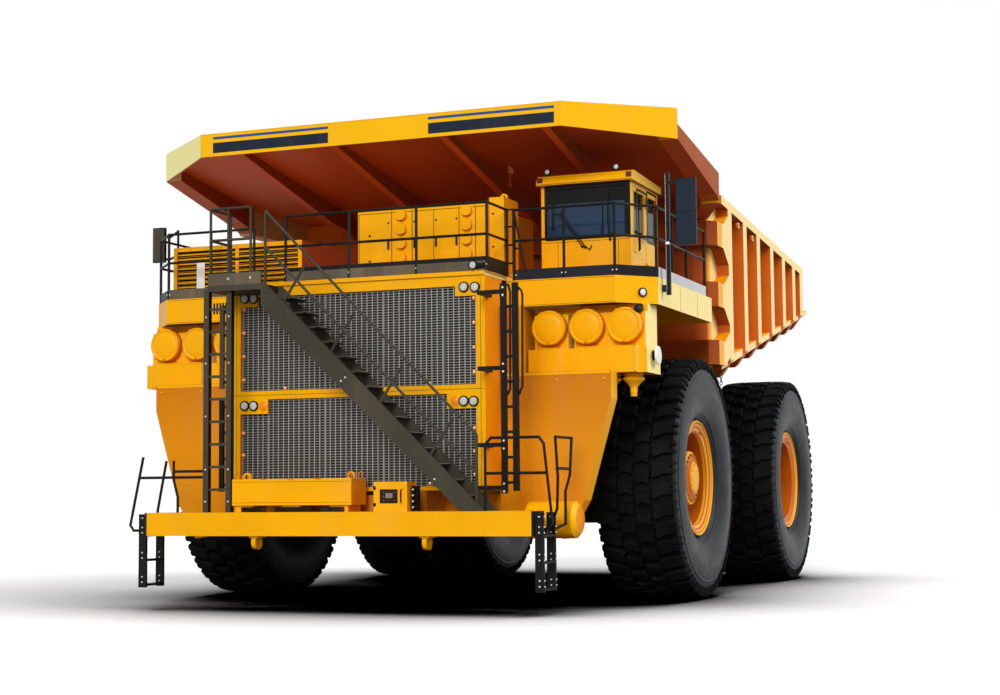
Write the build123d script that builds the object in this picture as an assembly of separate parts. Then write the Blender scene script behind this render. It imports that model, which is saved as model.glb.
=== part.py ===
from build123d import *
from math import atan2, cos, pi, sin, tan
import os

# Rigid mining dump truck, millimetres. X across (+X is the truck's left, where the cab is),
# -Y ahead, +Z up. The origin is on the ground under the middle of the truck's plan.

# Driving dimensions
WHEELBASE = 6525
FRONT_OVERHANG = 4740
REAR_OVERHANG = 2825
LENGTH = FRONT_OVERHANG + WHEELBASE + REAR_OVERHANG
FRONT_AXLE_Y = FRONT_OVERHANG - LENGTH / 2
REAR_AXLE_Y = FRONT_AXLE_Y + WHEELBASE
TAIL_Y = LENGTH / 2
TYRE_RADIUS = 1930
TYRE_WIDTH = 1360
FRONT_TYRE_X = 3700
REAR_OUTER_TYRE_X = 3750
DUAL_SPACING = 1530

SEAT_GAP = 0.3
RUNNING_GAP = 0.8
MOVING_GAP = 6


# Shape helpers
def block(x, y, z):
    """Box between a low and a high value along each axis."""
    size = (x[1] - x[0], y[1] - y[0], z[1] - z[0])
    middle = ((x[0] + x[1]) / 2, (y[0] + y[1]) / 2, (z[0] + z[1]) / 2)
    return Pos(*middle) * Box(*size)


def side_plate(outline, x):
    """Plate of (y, z) points, between two values of X."""
    face = make_face(Polyline(*outline, close=True))
    return extrude(Plane(origin=(x[0], 0, 0), x_dir=(0, 1, 0), z_dir=(1, 0, 0)) * face, x[1] - x[0])


def front_plate(outline, y):
    """Plate of (x, z) points, between two values of Y."""
    face = make_face(Polyline(*outline, close=True))
    return extrude(Plane(origin=(0, y[1], 0), x_dir=(1, 0, 0), z_dir=(0, -1, 0)) * face, y[1] - y[0])


def floor_plate(outline, z):
    """Plate of (x, y) points, between two values of Z."""
    face = make_face(Polyline(*outline, close=True))
    return extrude(Plane(origin=(0, 0, z[0])) * face, z[1] - z[0])


def tube(start, end, radius):
    """Round bar from one point to another."""
    line = Vector(*end) - Vector(*start)
    seat = (Align.CENTER, Align.CENTER, Align.MIN)
    return Plane(origin=start, z_dir=line) * Cylinder(radius, line.length, align=seat)


def bar(start, end, width, depth):
    """Flat bar from one point to another: width lies across X where the bar's run allows it."""
    line = Vector(*end) - Vector(*start)
    across = (1, 0, 0) if abs(line.X) < 0.9 * line.length else (0, 1, 0)
    seat = (Align.CENTER, Align.CENTER, Align.MIN)
    return Plane(origin=start, x_dir=across, z_dir=line) * Box(width, depth, line.length, align=seat)


def fuse(*pieces):
    """One solid from pieces that meet or overlap."""
    flat = []
    for piece in pieces:
        flat += piece if isinstance(piece, list) else [piece]
    return flat[0] + flat[1:] if len(flat) > 1 else flat[0]


def turned(profile, x=0, y=0, z=0):
    """Solid of revolution about a line along X; profile is (x, radius) points or a face."""
    face = make_face(Polyline(*profile, close=True)) if isinstance(profile, list) else profile
    return Pos(x, y, z) * revolve(face, Axis.X)


def faceted(section, sides):
    """Turned shape in flat faces about the X axis; section is a closed loop of (x, radius) points.

    The flats lie on the radii, and one flat faces straight down.
    """
    step = 2 * pi / sides
    stretch = 1 / cos(step / 2)

    def corner(point, i):
        turn = (i - 0.5) * step
        return Vector(point[0], point[1] * stretch * sin(turn), -point[1] * stretch * cos(turn))

    faces = []
    for i in range(sides):
        for a, b in zip(section, section[1:] + section[:1]):
            corners = [corner(a, i), corner(b, i)]
            if b[1]:
                corners.append(corner(b, i + 1))
            if a[1]:
                corners.append(corner(a, i + 1))
            if len(corners) > 2:
                faces.append(Face(Wire.make_polygon(corners)))
    return Part(Solid(Shell(faces)).wrapped)


def rod(start, end, radius):
    """Handrail bar in eight flats from one point to another."""
    line = Vector(*end) - Vector(*start)
    return extrude(Plane(origin=start, z_dir=line) * RegularPolygon(radius, 8), line.length)


def aft(distance):
    """Y of a place this far behind the front axle, or ahead of it where negative."""
    return FRONT_AXLE_Y + distance


def mirrored(shape):
    """The same piece on the truck's other side."""
    return mirror(shape, about=Plane.YZ)


nodes = {}


def add_pair(name, shape):
    """A piece on the left and its mirror image on the right."""
    nodes[name + "_left"] = shape
    nodes[name + "_right"] = mirrored(shape)


def add_both(name, shape):
    """A like piece on each side of one body, in one node."""
    nodes[name] = fuse(shape, mirrored(shape))


# Tyres and wheels
RIM_SEAT_RADIUS = 800
FLANGE_RADIUS = 927
RIM_HALF_WIDTH = 500
FLANGE_THICKNESS = 40
RIM_WALL = 60
LUG_DEPTH = 80
LUG_COUNT = 22
LUG_LENGTH = 330
LUG_THICKNESS = 230
LUG_SLANT = 95
TREAD_HALF_WIDTH = 610
BEAD_HALF_WIDTH = RIM_HALF_WIDTH - FLANGE_THICKNESS - 70
BELT_RADIUS = TYRE_RADIUS - LUG_DEPTH


def tyre_carcass():
    """Bead, bulging sidewalls and belt, with one flat to each pair of lugs."""
    half = [
        (BEAD_HALF_WIDTH, RIM_SEAT_RADIUS + SEAT_GAP),
        (TYRE_WIDTH / 2, (BELT_RADIUS + FLANGE_RADIUS) / 2),
        (TREAD_HALF_WIDTH + 10, BELT_RADIUS),
    ]
    return faceted(half + [(-x, radius) for x, radius in reversed(half)], LUG_COUNT)


def tyre():
    """Carcass with two rows of slanted shoulder lugs."""
    lugs = []
    for side in (1, -1):
        outer = side * TREAD_HALF_WIDTH
        inner = side * (TREAD_HALF_WIDTH - LUG_LENGTH)
        outline = [
            (outer, -(LUG_THICKNESS + LUG_SLANT) / 2),
            (outer, (LUG_THICKNESS - LUG_SLANT) / 2),
            (inner, (LUG_THICKNESS + LUG_SLANT) / 2),
            (inner, -(LUG_THICKNESS - LUG_SLANT) / 2),
        ]
        lug = floor_plate(outline, (BELT_RADIUS - 10, TYRE_RADIUS))
        lugs += [Rot(X=step * 360 / LUG_COUNT) * lug for step in range(LUG_COUNT)]
    return fuse(tyre_carcass(), lugs)


SPINDLE_RADIUS = 250
HUB_RADIUS = 430
FRONT_DISC_X = -240
DISC_THICKNESS = 80
HUB_FACE = RIM_HALF_WIDTH - 60


def rim_outline(inner_radius, low, high):
    """Section of one rim: flanges at both edges, bead seat between, open inside."""
    return [
        (low, inner_radius),
        (low, FLANGE_RADIUS),
        (low + FLANGE_THICKNESS, FLANGE_RADIUS),
        (low + FLANGE_THICKNESS, RIM_SEAT_RADIUS),
        (high - FLANGE_THICKNESS, RIM_SEAT_RADIUS),
        (high - FLANGE_THICKNESS, FLANGE_RADIUS),
        (high, FLANGE_RADIUS),
        (high, FLANGE_RADIUS - 65),
        (high - 55, inner_radius),
    ]


def front_wheel():
    """Rim with its disc and the protruding hub on the spindle."""
    inner = RIM_SEAT_RADIUS - RIM_WALL
    rim = turned(rim_outline(inner, -RIM_HALF_WIDTH, RIM_HALF_WIDTH))
    bore = SPINDLE_RADIUS + RUNNING_GAP
    back = FRONT_DISC_X - DISC_THICKNESS
    hub = [
        (back, bore),
        (back, inner + 10),
        (FRONT_DISC_X, inner + 10),
        (FRONT_DISC_X, HUB_RADIUS + 60),
        (FRONT_DISC_X + 60, HUB_RADIUS),
        (HUB_FACE - 60, HUB_RADIUS - 20),
        (HUB_FACE, HUB_RADIUS - 150),
        (HUB_FACE, 0),
        (60, 0),
        (60, bore),
    ]
    return fuse(rim, turned(hub))


INNER_TYRE_X = REAR_OUTER_TYRE_X - DUAL_SPACING
REAR_DISC_X = REAR_OUTER_TYRE_X - 330
REAR_SPINDLE_RADIUS = 300
REAR_DRUM_INNER = 720


def rear_wheel():
    """Two rims on one drum, with the hub's disc deep inside the outer rim."""
    low = INNER_TYRE_X - RIM_HALF_WIDTH
    outer_low = REAR_OUTER_TYRE_X - RIM_HALF_WIDTH
    inner_rim = turned(rim_outline(REAR_DRUM_INNER, low, INNER_TYRE_X + RIM_HALF_WIDTH))
    outer_rim = turned(rim_outline(REAR_DRUM_INNER, outer_low, REAR_OUTER_TYRE_X + RIM_HALF_WIDTH))
    spacer = turned([
        (INNER_TYRE_X + RIM_HALF_WIDTH - 80, REAR_DRUM_INNER),
        (INNER_TYRE_X + RIM_HALF_WIDTH - 80, RIM_SEAT_RADIUS - 20),
        (outer_low + 10, RIM_SEAT_RADIUS - 20),
        (outer_low + 10, REAR_DRUM_INNER),
    ])
    bore = REAR_SPINDLE_RADIUS + RUNNING_GAP
    disc = turned([
        (REAR_DISC_X - DISC_THICKNESS, bore),
        (REAR_DISC_X - DISC_THICKNESS, REAR_DRUM_INNER + 10),
        (REAR_DISC_X, REAR_DRUM_INNER + 10),
        (REAR_DISC_X, 520),
        (REAR_DISC_X + 200, 470),
        (REAR_DISC_X + 260, 410),
        (REAR_DISC_X + 260, 0),
        (REAR_DISC_X + 100, 0),
        (REAR_DISC_X + 100, bore),
    ])
    return Pos(0, REAR_AXLE_Y, TYRE_RADIUS) * fuse(outer_rim, inner_rim, spacer, disc)


def make_wheels():
    one = tyre()
    add_pair("front_tyre", Pos(FRONT_TYRE_X, FRONT_AXLE_Y, TYRE_RADIUS) * one)
    add_pair("front_wheel", Pos(FRONT_TYRE_X, FRONT_AXLE_Y, TYRE_RADIUS) * front_wheel())
    duals = [Pos(x, REAR_AXLE_Y, TYRE_RADIUS) * one for x in (REAR_OUTER_TYRE_X, INNER_TYRE_X)]
    add_pair("rear_tyres", fuse(duals))
    add_pair("rear_wheel", rear_wheel())


# Steering: upright struts carry the knuckles, a tie rod and two cylinders turn them
KINGPIN_X = 2450
STRUT_RADIUS = 300
STRUT_ROD_RADIUS = 240
STRUT_LOW = 2420
STRUT_TOP = 4250
ARM_Z = 1380
ARM_THICKNESS = 110
TIE_ARM = (0, 850)
CYLINDER_ARM = (-100, -700)
EYE_RADIUS = 110
EYE_THICKNESS = 130
LINK_GAP = 6
LINK_PIN_RADIUS = 45
TIE_ROD_RADIUS = 60
STRUT_ENGAGEMENT = 300
BRAKE_RADIUS = 560


def knuckle():
    x, y = KINGPIN_X, FRONT_AXLE_Y
    post = tube((x, y, ARM_Z), (x, y, STRUT_LOW + STRUT_ENGAGEMENT), STRUT_ROD_RADIUS)
    disc_back = FRONT_TYRE_X + FRONT_DISC_X - DISC_THICKNESS
    spindle = tube((x, y, TYRE_RADIUS), (FRONT_TYRE_X + 40, y, TYRE_RADIUS), SPINDLE_RADIUS)
    brake_x = (x + STRUT_RADIUS + 100, disc_back - 2 * MOVING_GAP)
    brake = tube((brake_x[0], y, TYRE_RADIUS), (brake_x[1], y, TYRE_RADIUS), BRAKE_RADIUS)
    arms = []
    for dx, dy in (TIE_ARM, CYLINDER_ARM):
        end = (x + dx, y + dy, ARM_Z)
        arms.append(tube(end, (end[0], end[1], ARM_Z + ARM_THICKNESS), EYE_RADIUS))
        arm = [(x - 170, y), (x + 170, y), (end[0] + EYE_RADIUS, end[1]), (end[0] - EYE_RADIUS, end[1])]
        arms.append(floor_plate(arm, (ARM_Z, ARM_Z + ARM_THICKNESS)))
    pin_end = (x + TIE_ARM[0], y + TIE_ARM[1], ARM_Z)
    pin = tube((pin_end[0], pin_end[1], ARM_Z - LINK_GAP - EYE_THICKNESS), pin_end, LINK_PIN_RADIUS)
    return fuse(post, spindle, brake, arms, pin)


def tie_rod():
    """Cross rod under the arms, an eye at each end."""
    top = ARM_Z - LINK_GAP
    x, y = KINGPIN_X + TIE_ARM[0], FRONT_AXLE_Y + TIE_ARM[1]
    middle = top - EYE_THICKNESS / 2
    eyes = [tube((side * x, y, top - EYE_THICKNESS), (side * x, y, top), EYE_RADIUS) for side in (1, -1)]
    link = fuse(tube((-x, y, middle), (x, y, middle), TIE_ROD_RADIUS), eyes)
    for side in (1, -1):
        hole = (side * x, y, top - 2 * EYE_THICKNESS), (side * x, y, top + 1)
        link -= tube(*hole, LINK_PIN_RADIUS + RUNNING_GAP)
    return link


STEER_ANCHOR = (850, -450)
STEER_BARREL_RADIUS = 95
STEER_ROD_RADIUS = 50
STEER_BARREL_LENGTH = 990
STEER_STROKE = 410
STEER_Z = ARM_Z - LINK_GAP - STEER_BARREL_RADIUS


def steering_cylinder():
    """Barrel pinned under the frame and rod out to the knuckle's front arm."""
    start = Vector(STEER_ANCHOR[0], FRONT_AXLE_Y + STEER_ANCHOR[1], STEER_Z)
    end = Vector(KINGPIN_X + CYLINDER_ARM[0], FRONT_AXLE_Y + CYLINDER_ARM[1], STEER_Z)
    line = (end - start).normalized()
    half = Vector(0, 0, STEER_BARREL_RADIUS)
    barrel_end = start + line * STEER_BARREL_LENGTH
    barrel = fuse(
        tube(start - half, start + half, EYE_RADIUS),
        tube(start, barrel_end, STEER_BARREL_RADIUS),
    )
    bore = tube(start + line * EYE_RADIUS, barrel_end + line, STEER_ROD_RADIUS + RUNNING_GAP)
    piston_rod = fuse(
        tube(start + line * (EYE_RADIUS + STEER_STROKE), end, STEER_ROD_RADIUS),
        tube(end - half, end + half, EYE_RADIUS),
    )
    pin_hole = tube(start - half * 2, start + half * 2, LINK_PIN_RADIUS + RUNNING_GAP)
    return barrel - bore - pin_hole, piston_rod


def make_steering():
    add_pair("knuckle", knuckle())
    nodes["tie_rod"] = tie_rod()
    barrel, piston_rod = steering_cylinder()
    add_pair("steering_barrel", barrel)
    add_pair("steering_rod", piston_rod)
    foot = (KINGPIN_X, FRONT_AXLE_Y, STRUT_LOW)
    strut = tube(foot, (KINGPIN_X, FRONT_AXLE_Y, STRUT_TOP), STRUT_RADIUS)
    flange = tube(foot, (KINGPIN_X, FRONT_AXLE_Y, STRUT_LOW + 90), STRUT_RADIUS + 45)
    bore_top = (KINGPIN_X, FRONT_AXLE_Y, STRUT_LOW + STRUT_ENGAGEMENT + MOVING_GAP)
    bore = tube((KINGPIN_X, FRONT_AXLE_Y, STRUT_LOW - 1), bore_top, STRUT_ROD_RADIUS + RUNNING_GAP)
    add_both("front_struts", fuse(strut, flange) - bore)


# Frame, axle and machinery
RAIL_X = (850, 1150)
FRAME_FRONT_Y = FRONT_AXLE_Y - 3900
BUMPER_TOP = 1460
BUMPER_LOW = 1113
PIVOT_Y = REAR_AXLE_Y + 1640
PIVOT_Z = 3900
PIVOT_PIN_RADIUS = 95
RAIL_END_RADIUS = 390
RAIL_SLOPE = atan2(900, 6600)
RAMP_Y = FRONT_AXLE_Y + 1500
RAIL_BOTTOM = 1720
REAR_STRUT_X = 520
REAR_STRUT_Y = REAR_AXLE_Y + 1120
REAR_TUBE_Z = 3330
REAR_TUBE_RADIUS = 200
STRUT_SHELF_Z = TYRE_RADIUS + 120
NOSE_EYE_X = RAIL_X[0] - SEAT_GAP
NOSE_EYE_Y = REAR_AXLE_Y - 2600
NOSE_EYE_Z = TYRE_RADIUS + 20
RADIATOR_X = 2100
RADIATOR_FRONT_Y = FRONT_AXLE_Y - 3920
RADIATOR_DEPTH = 700
RADIATOR_LOW = 1760
RADIATOR_TOP = 4900


HOIST_X = 1345
HOIST_FOOT = (aft(3900), 1560)
HOIST_EYE_RADIUS = 120
HOIST_EYE_WIDTH = 120
HOIST_PIN_RADIUS = 60


def rail_top(y):
    """Height of the rail's sloping top, which the dump body rests along."""
    return PIVOT_Z + RAIL_END_RADIUS / cos(RAIL_SLOPE) + (y - PIVOT_Y) * tan(RAIL_SLOPE)


def frame():
    end_y = PIVOT_Y - RAIL_END_RADIUS * sin(RAIL_SLOPE)
    top_front = 2950
    step_y = RADIATOR_FRONT_Y + RADIATOR_DEPTH + 40
    outline = [
        (FRAME_FRONT_Y, BUMPER_LOW + 50),
        (FRAME_FRONT_Y + 500, BUMPER_LOW + 50),
        (FRAME_FRONT_Y + 1000, RAIL_BOTTOM),
        (RAMP_Y + 600, RAIL_BOTTOM),
        (REAR_AXLE_Y - 1300, 2860),
        (REAR_AXLE_Y + 400, 2960),
        (PIVOT_Y, PIVOT_Z - RAIL_END_RADIUS),
        (end_y, rail_top(end_y)),
        (RAMP_Y, rail_top(RAMP_Y)),
        (RAMP_Y - 200, top_front),
        (step_y + 300, top_front),
        (step_y, top_front - 300),
        (step_y, RADIATOR_LOW),
        (FRAME_FRONT_Y, RADIATOR_LOW),
    ]
    bore = tube((0, PIVOT_Y, PIVOT_Z), (RAIL_X[1] + 50, PIVOT_Y, PIVOT_Z), PIVOT_PIN_RADIUS + RUNNING_GAP)
    end = tube((RAIL_X[0], PIVOT_Y, PIVOT_Z), (RAIL_X[1], PIVOT_Y, PIVOT_Z), RAIL_END_RADIUS)
    foot_y, foot_z = HOIST_FOOT
    bracket = side_plate([
        (foot_y - 700, 2250),
        (foot_y - 220, foot_z - 150),
        (foot_y + 220, foot_z - 150),
        (foot_y + 450, 2600),
    ], RAIL_X)
    boss_x = HOIST_X - HOIST_EYE_WIDTH / 2 - LINK_GAP
    boss = tube((RAIL_X[1] - 20, foot_y, foot_z), (boss_x, foot_y, foot_z), HOIST_EYE_RADIUS)
    pin_x = HOIST_X + HOIST_EYE_WIDTH / 2 + LINK_GAP
    pin = tube((boss_x - 20, foot_y, foot_z), (pin_x, foot_y, foot_z), HOIST_PIN_RADIUS)
    rail = fuse(side_plate(outline, RAIL_X), end, bracket, boss, pin) - bore
    cross_tubes = [
        tube((-RAIL_X[1], y, z), (RAIL_X[1], y, z), radius)
        for y, z, radius in (
            (NOSE_EYE_Y - 500, 2250, 330),
            (REAR_STRUT_Y, REAR_TUBE_Z, REAR_TUBE_RADIUS),
        )
    ]
    nose_z = (BUMPER_LOW + 50, RADIATOR_LOW - 60)
    nose = block((-RAIL_X[1], RAIL_X[1]), (FRAME_FRONT_Y, FRAME_FRONT_Y + 400), nose_z)
    collar_y = (FRONT_AXLE_Y - 420, FRONT_AXLE_Y + 420)
    collar = block((-KINGPIN_X, KINGPIN_X), collar_y, (STRUT_LOW + 400, STRUT_LOW + 1000))
    sockets = []
    for side in (1, -1):
        x = side * KINGPIN_X
        span = (x, FRONT_AXLE_Y, STRUT_LOW + 300), (x, FRONT_AXLE_Y, STRUT_TOP - 250)
        sockets.append(tube(*span, STRUT_RADIUS + 120))
    horse_collar = fuse(collar, sockets)
    for side in (1, -1):
        x = side * KINGPIN_X
        horse_collar -= tube((x, FRONT_AXLE_Y, 0), (x, FRONT_AXLE_Y, STRUT_TOP), STRUT_RADIUS + SEAT_GAP)
    anchors = []
    for side in (1, -1):
        x, y = side * STEER_ANCHOR[0], FRONT_AXLE_Y + STEER_ANCHOR[1]
        anchors.append(tube((x, y, ARM_Z), (x, y, RAIL_BOTTOM + 20), EYE_RADIUS))
        anchors.append(tube((x, y, STEER_Z - STEER_BARREL_RADIUS), (x, y, ARM_Z), LINK_PIN_RADIUS))
    return fuse(rail, mirrored(rail), cross_tubes, nose, horse_collar, anchors)


AXLE_CASE_RADIUS = 830
MOTOR_RADIUS = 640


def rear_axle():
    """Axle case with a wheel motor in each end, the tapered nose ahead and the struts' shelf behind."""
    disc_back = REAR_DISC_X - DISC_THICKNESS
    half = [
        (0, 0),
        (0, AXLE_CASE_RADIUS),
        (1000, AXLE_CASE_RADIUS),
        (1400, MOTOR_RADIUS),
        (disc_back - 60, MOTOR_RADIUS),
        (disc_back - 60, REAR_SPINDLE_RADIUS),
        (REAR_DISC_X + 80, REAR_SPINDLE_RADIUS),
        (REAR_DISC_X + 80, 0),
    ]
    case = turned(half, 0, REAR_AXLE_Y, TYRE_RADIUS)
    across = {"x_dir": (1, 0, 0), "z_dir": (0, -1, 0)}
    root = Plane(origin=(0, REAR_AXLE_Y - 600, TYRE_RADIUS), **across) * Rectangle(1500, 900)
    tip = Plane(origin=(0, NOSE_EYE_Y, NOSE_EYE_Z), **across) * Rectangle(520, 280)
    nose = loft([root, tip])
    eye = tube((-NOSE_EYE_X, NOSE_EYE_Y, NOSE_EYE_Z), (NOSE_EYE_X, NOSE_EYE_Y, NOSE_EYE_Z), 150)
    shelf_x = (-REAR_STRUT_X - 190, REAR_STRUT_X + 190)
    shelf = block(shelf_x, (REAR_AXLE_Y + 500, REAR_STRUT_Y + 190), (TYRE_RADIUS - 60, STRUT_SHELF_Z))
    return fuse(case, mirrored(case), nose, eye, shelf)


def rear_strut():
    """Suspension strut from the axle's shelf up to the rear cross tube."""
    head_z = REAR_TUBE_Z - REAR_TUBE_RADIUS * 0.5
    post = tube((REAR_STRUT_X, REAR_STRUT_Y, STRUT_SHELF_Z), (REAR_STRUT_X, REAR_STRUT_Y, 2600), 110)
    barrel = tube((REAR_STRUT_X, REAR_STRUT_Y, 2500), (REAR_STRUT_X, REAR_STRUT_Y, head_z), 165)
    seat = tube(
        (0, REAR_STRUT_Y, REAR_TUBE_Z),
        (2 * REAR_STRUT_X, REAR_STRUT_Y, REAR_TUBE_Z),
        REAR_TUBE_RADIUS + SEAT_GAP,
    )
    return fuse(post, barrel) - seat


ENGINE_HALF_WIDTH = RAIL_X[0] - SEAT_GAP
ENGINE = ((-ENGINE_HALF_WIDTH, ENGINE_HALF_WIDTH), (aft(-3100), aft(-430)), (1900, 3900))
MID_BAR = (3170, 3300)
TOP_BAR = 150
GRILLE_RECESS = 40
SIDE_BAR = 140
RADIATOR_WINDOWS = ((RADIATOR_LOW + 60, MID_BAR[0]), (MID_BAR[1], RADIATOR_TOP - TOP_BAR))


def radiator_housing():
    """Frame round the cooling grille with its lamp plates, and the ducting behind it."""
    back_y = RADIATOR_FRONT_Y + RADIATOR_DEPTH
    shell = block((-RADIATOR_X, RADIATOR_X), (RADIATOR_FRONT_Y, back_y), (RADIATOR_LOW, RADIATOR_TOP))
    window_x = (-RADIATOR_X + SIDE_BAR, RADIATOR_X - SIDE_BAR)
    window_y = (RADIATOR_FRONT_Y - 1, back_y - 60)
    for z in RADIATOR_WINDOWS:
        shell -= block(window_x, window_y, z)
    shell -= block((-1300, 1300), (back_y - 70, back_y + 1), (RADIATOR_LOW + 400, RADIATOR_TOP - 500))
    plates = []
    plate_y = (RADIATOR_FRONT_Y, RADIATOR_FRONT_Y + GRILLE_RECESS - 5)
    for side, top_width, mid_width in ((1, 420, 560), (-1, 390, 570)):
        outer = RADIATOR_X - SIDE_BAR
        for width, z in ((top_width, (4600, RADIATOR_TOP - TOP_BAR)), (mid_width, (2950, MID_BAR[0]))):
            x = sorted((side * outer, side * (outer - width + 90)))
            plates.append(block(x, plate_y, z))
    return fuse(shell, plates)


def radiator_cores():
    """Two finned cores behind the grille, filling the housing's windows."""
    cores = []
    inset = SEAT_GAP
    y = (RADIATOR_FRONT_Y + 120, RADIATOR_FRONT_Y + RADIATOR_DEPTH - 60 - inset)
    x = (-RADIATOR_X + SIDE_BAR + inset, RADIATOR_X - SIDE_BAR - inset)
    for z in RADIATOR_WINDOWS:
        cores.append(block(x, y, (z[0] + inset, z[1] - inset)))
    return fuse(cores)


GRILLE_BARS = (12, 14)


def grilles():
    """Horizontal bars on upright wires in front of each core."""
    made = []
    x = (-RADIATOR_X + SIDE_BAR + SEAT_GAP, RADIATOR_X - SIDE_BAR - SEAT_GAP)
    y = (RADIATOR_FRONT_Y + GRILLE_RECESS, RADIATOR_FRONT_Y + GRILLE_RECESS + 20)
    for z, count in zip(RADIATOR_WINDOWS, GRILLE_BARS):
        low, high = z[0] + SEAT_GAP, z[1] - SEAT_GAP
        pitch = (high - low - 30) / (count - 1)
        bars = [block(x, y, (low + i * pitch, low + i * pitch + 30)) for i in range(count)]
        posts = [
            block((px - 15, px + 15), (y[0] + 5, y[1] + 15), (low, high))
            for px in (x[0] + 15, x[0] / 2, 0, x[1] / 2, x[1] - 15)
        ]
        made.append(fuse(bars, posts))
    return fuse(made)


def make_chassis():
    nodes["frame"] = frame()
    nodes["rear_axle"] = rear_axle()
    add_both("rear_struts", rear_strut())
    nodes["engine_block"] = block(*ENGINE)
    nodes["radiator_housing"] = radiator_housing()
    nodes["radiator_cores"] = radiator_cores()
    nodes["grilles"] = grilles()


# Dump body: floor on two long beams, ribbed sides, front wall and the canopy over the cab
BODY_HALF_WIDTH = 4200
RIB_DEPTH = 220
WALL = 60
WALL_OUTER_X = BODY_HALF_WIDTH - RIB_DEPTH
WALL_INNER_X = WALL_OUTER_X - WALL
FLOOR_START_Y = aft(1660)
FLOOR_START_Z = 3740
FLOOR_TAIL_Z = 5450
FLOOR_SLOPE = (FLOOR_TAIL_Z - FLOOR_START_Z) / (TAIL_Y - FLOOR_START_Y)
FLOOR_THICKNESS = 80
CORNER_RADIUS = 260
BEAM_GAP = 6
PIVOT_LUG = 64
RAIL_HEIGHT = 150
TOP_FRONT_Z = 6860
TOP_REAR = (aft(8720), 6350)
CANOPY_HALF_WIDTH = 4521
APRON_HALF_WIDTH = 3082
APRON_Y = aft(-3264)
APRON_CORNER_Y = aft(-2011)
APRON_THICKNESS = 40
CANOPY_PLATE = 50
CANOPY_SLOPE = 0.135
CANOPY_FRONT_Z = 7420
CANOPY_LOW_Z, CANOPY_HIGH_Z = 6300, 7700


def floor_low(y):
    """Height of the floor plate's underside."""
    return FLOOR_START_Z + (y - FLOOR_START_Y) * FLOOR_SLOPE


def top_edge(y):
    """Height of the side wall's upper edge."""
    run = TOP_REAR[0] - FLOOR_START_Y
    return TOP_FRONT_Z + (TOP_REAR[1] - TOP_FRONT_Z) * (y - FLOOR_START_Y) / run


def canopy_low(y):
    """Height of the canopy plate's underside."""
    return CANOPY_FRONT_Z - CANOPY_SLOPE * (y - APRON_Y)


HOIST_HEAD = (aft(3300), 3840)
HOIST_PLATE = 45
RIB_WIDTH = 270
RIB_PLACES = (2500, 3630, 4700, 5850, 6900, 7860, 8590)
RIB_FOOT = 200


def body_floor():
    """Floor plate with its long beams, cross bolsters, pivot lugs and hoist brackets."""
    x = (-WALL_INNER_X + SEAT_GAP, WALL_INNER_X - SEAT_GAP)
    start = FLOOR_START_Y
    plate = side_plate([
        (start, floor_low(start)),
        (TAIL_Y, floor_low(TAIL_Y)),
        (TAIL_Y, floor_low(TAIL_Y) + FLOOR_THICKNESS),
        (start, floor_low(start) + FLOOR_THICKNESS),
    ], x)
    beam_start, beam_end = aft(2000), PIVOT_Y
    beam = side_plate([
        (beam_start, rail_top(beam_start) + BEAM_GAP),
        (beam_end, rail_top(beam_end) + BEAM_GAP),
        (beam_end + 500, floor_low(beam_end + 500) + 10),
        (beam_start, floor_low(beam_start) + 10),
    ], RAIL_X)
    bolsters = []
    for distance in RIB_PLACES:
        y = (aft(distance) - RIB_WIDTH / 2, aft(distance) + RIB_WIDTH / 2)
        outline = [
            (y[0], floor_low(y[0]) + 10),
            (y[0], floor_low(y[0]) - RIB_FOOT),
            (y[1], floor_low(y[1]) - RIB_FOOT),
            (y[1], floor_low(y[1]) + 10),
        ]
        bolsters.append(side_plate(outline, x))
    lugs = []
    for low, high in ((RAIL_X[0] - MOVING_GAP - PIVOT_LUG, RAIL_X[0] - MOVING_GAP),
                      (RAIL_X[1] + MOVING_GAP, RAIL_X[1] + MOVING_GAP + PIVOT_LUG)):
        outline = [
            (PIVOT_Y - 200, PIVOT_Z),
            (PIVOT_Y + 200, PIVOT_Z),
            (PIVOT_Y + 420, floor_low(PIVOT_Y + 420) + 10),
            (PIVOT_Y - 620, floor_low(PIVOT_Y - 620) + 10),
        ]
        lugs.append(side_plate(outline, (low, high)))
        lugs.append(tube((low, PIVOT_Y, PIVOT_Z), (high, PIVOT_Y, PIVOT_Z), 200))
    pin = tube(
        (RAIL_X[0] - MOVING_GAP - 10, PIVOT_Y, PIVOT_Z),
        (RAIL_X[1] + MOVING_GAP + 10, PIVOT_Y, PIVOT_Z),
        PIVOT_PIN_RADIUS,
    )
    y, z = HOIST_HEAD
    eye_half = HOIST_EYE_WIDTH / 2 + LINK_GAP
    for low in (HOIST_X - eye_half - HOIST_PLATE, HOIST_X + eye_half):
        outline = [
            (y - HOIST_EYE_RADIUS, z),
            (y + HOIST_EYE_RADIUS, z),
            (y + 260, floor_low(y + 260) + 10),
            (y - 260, floor_low(y - 260) + 10),
        ]
        lugs.append(side_plate(outline, (low, low + HOIST_PLATE)))
        lugs.append(tube((low, y, z), (low + HOIST_PLATE, y, z), HOIST_EYE_RADIUS))
    half = [beam, pin] + lugs
    corner_x = WALL_OUTER_X - CORNER_RADIUS - SEAT_GAP
    corner_y = start + CORNER_RADIUS + SEAT_GAP
    notch_z = (FLOOR_START_Z - 1, FLOOR_START_Z + 500)
    notch = block((corner_x, BODY_HALF_WIDTH), (start - 1, corner_y), notch_z)
    floor = fuse(plate, bolsters, half, [mirrored(piece) for piece in half])
    return floor - notch - mirrored(notch)


BOLSTER_HEIGHT = 420
FRONT_BOLSTERS = (4080, 5080, 6130)


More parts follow.
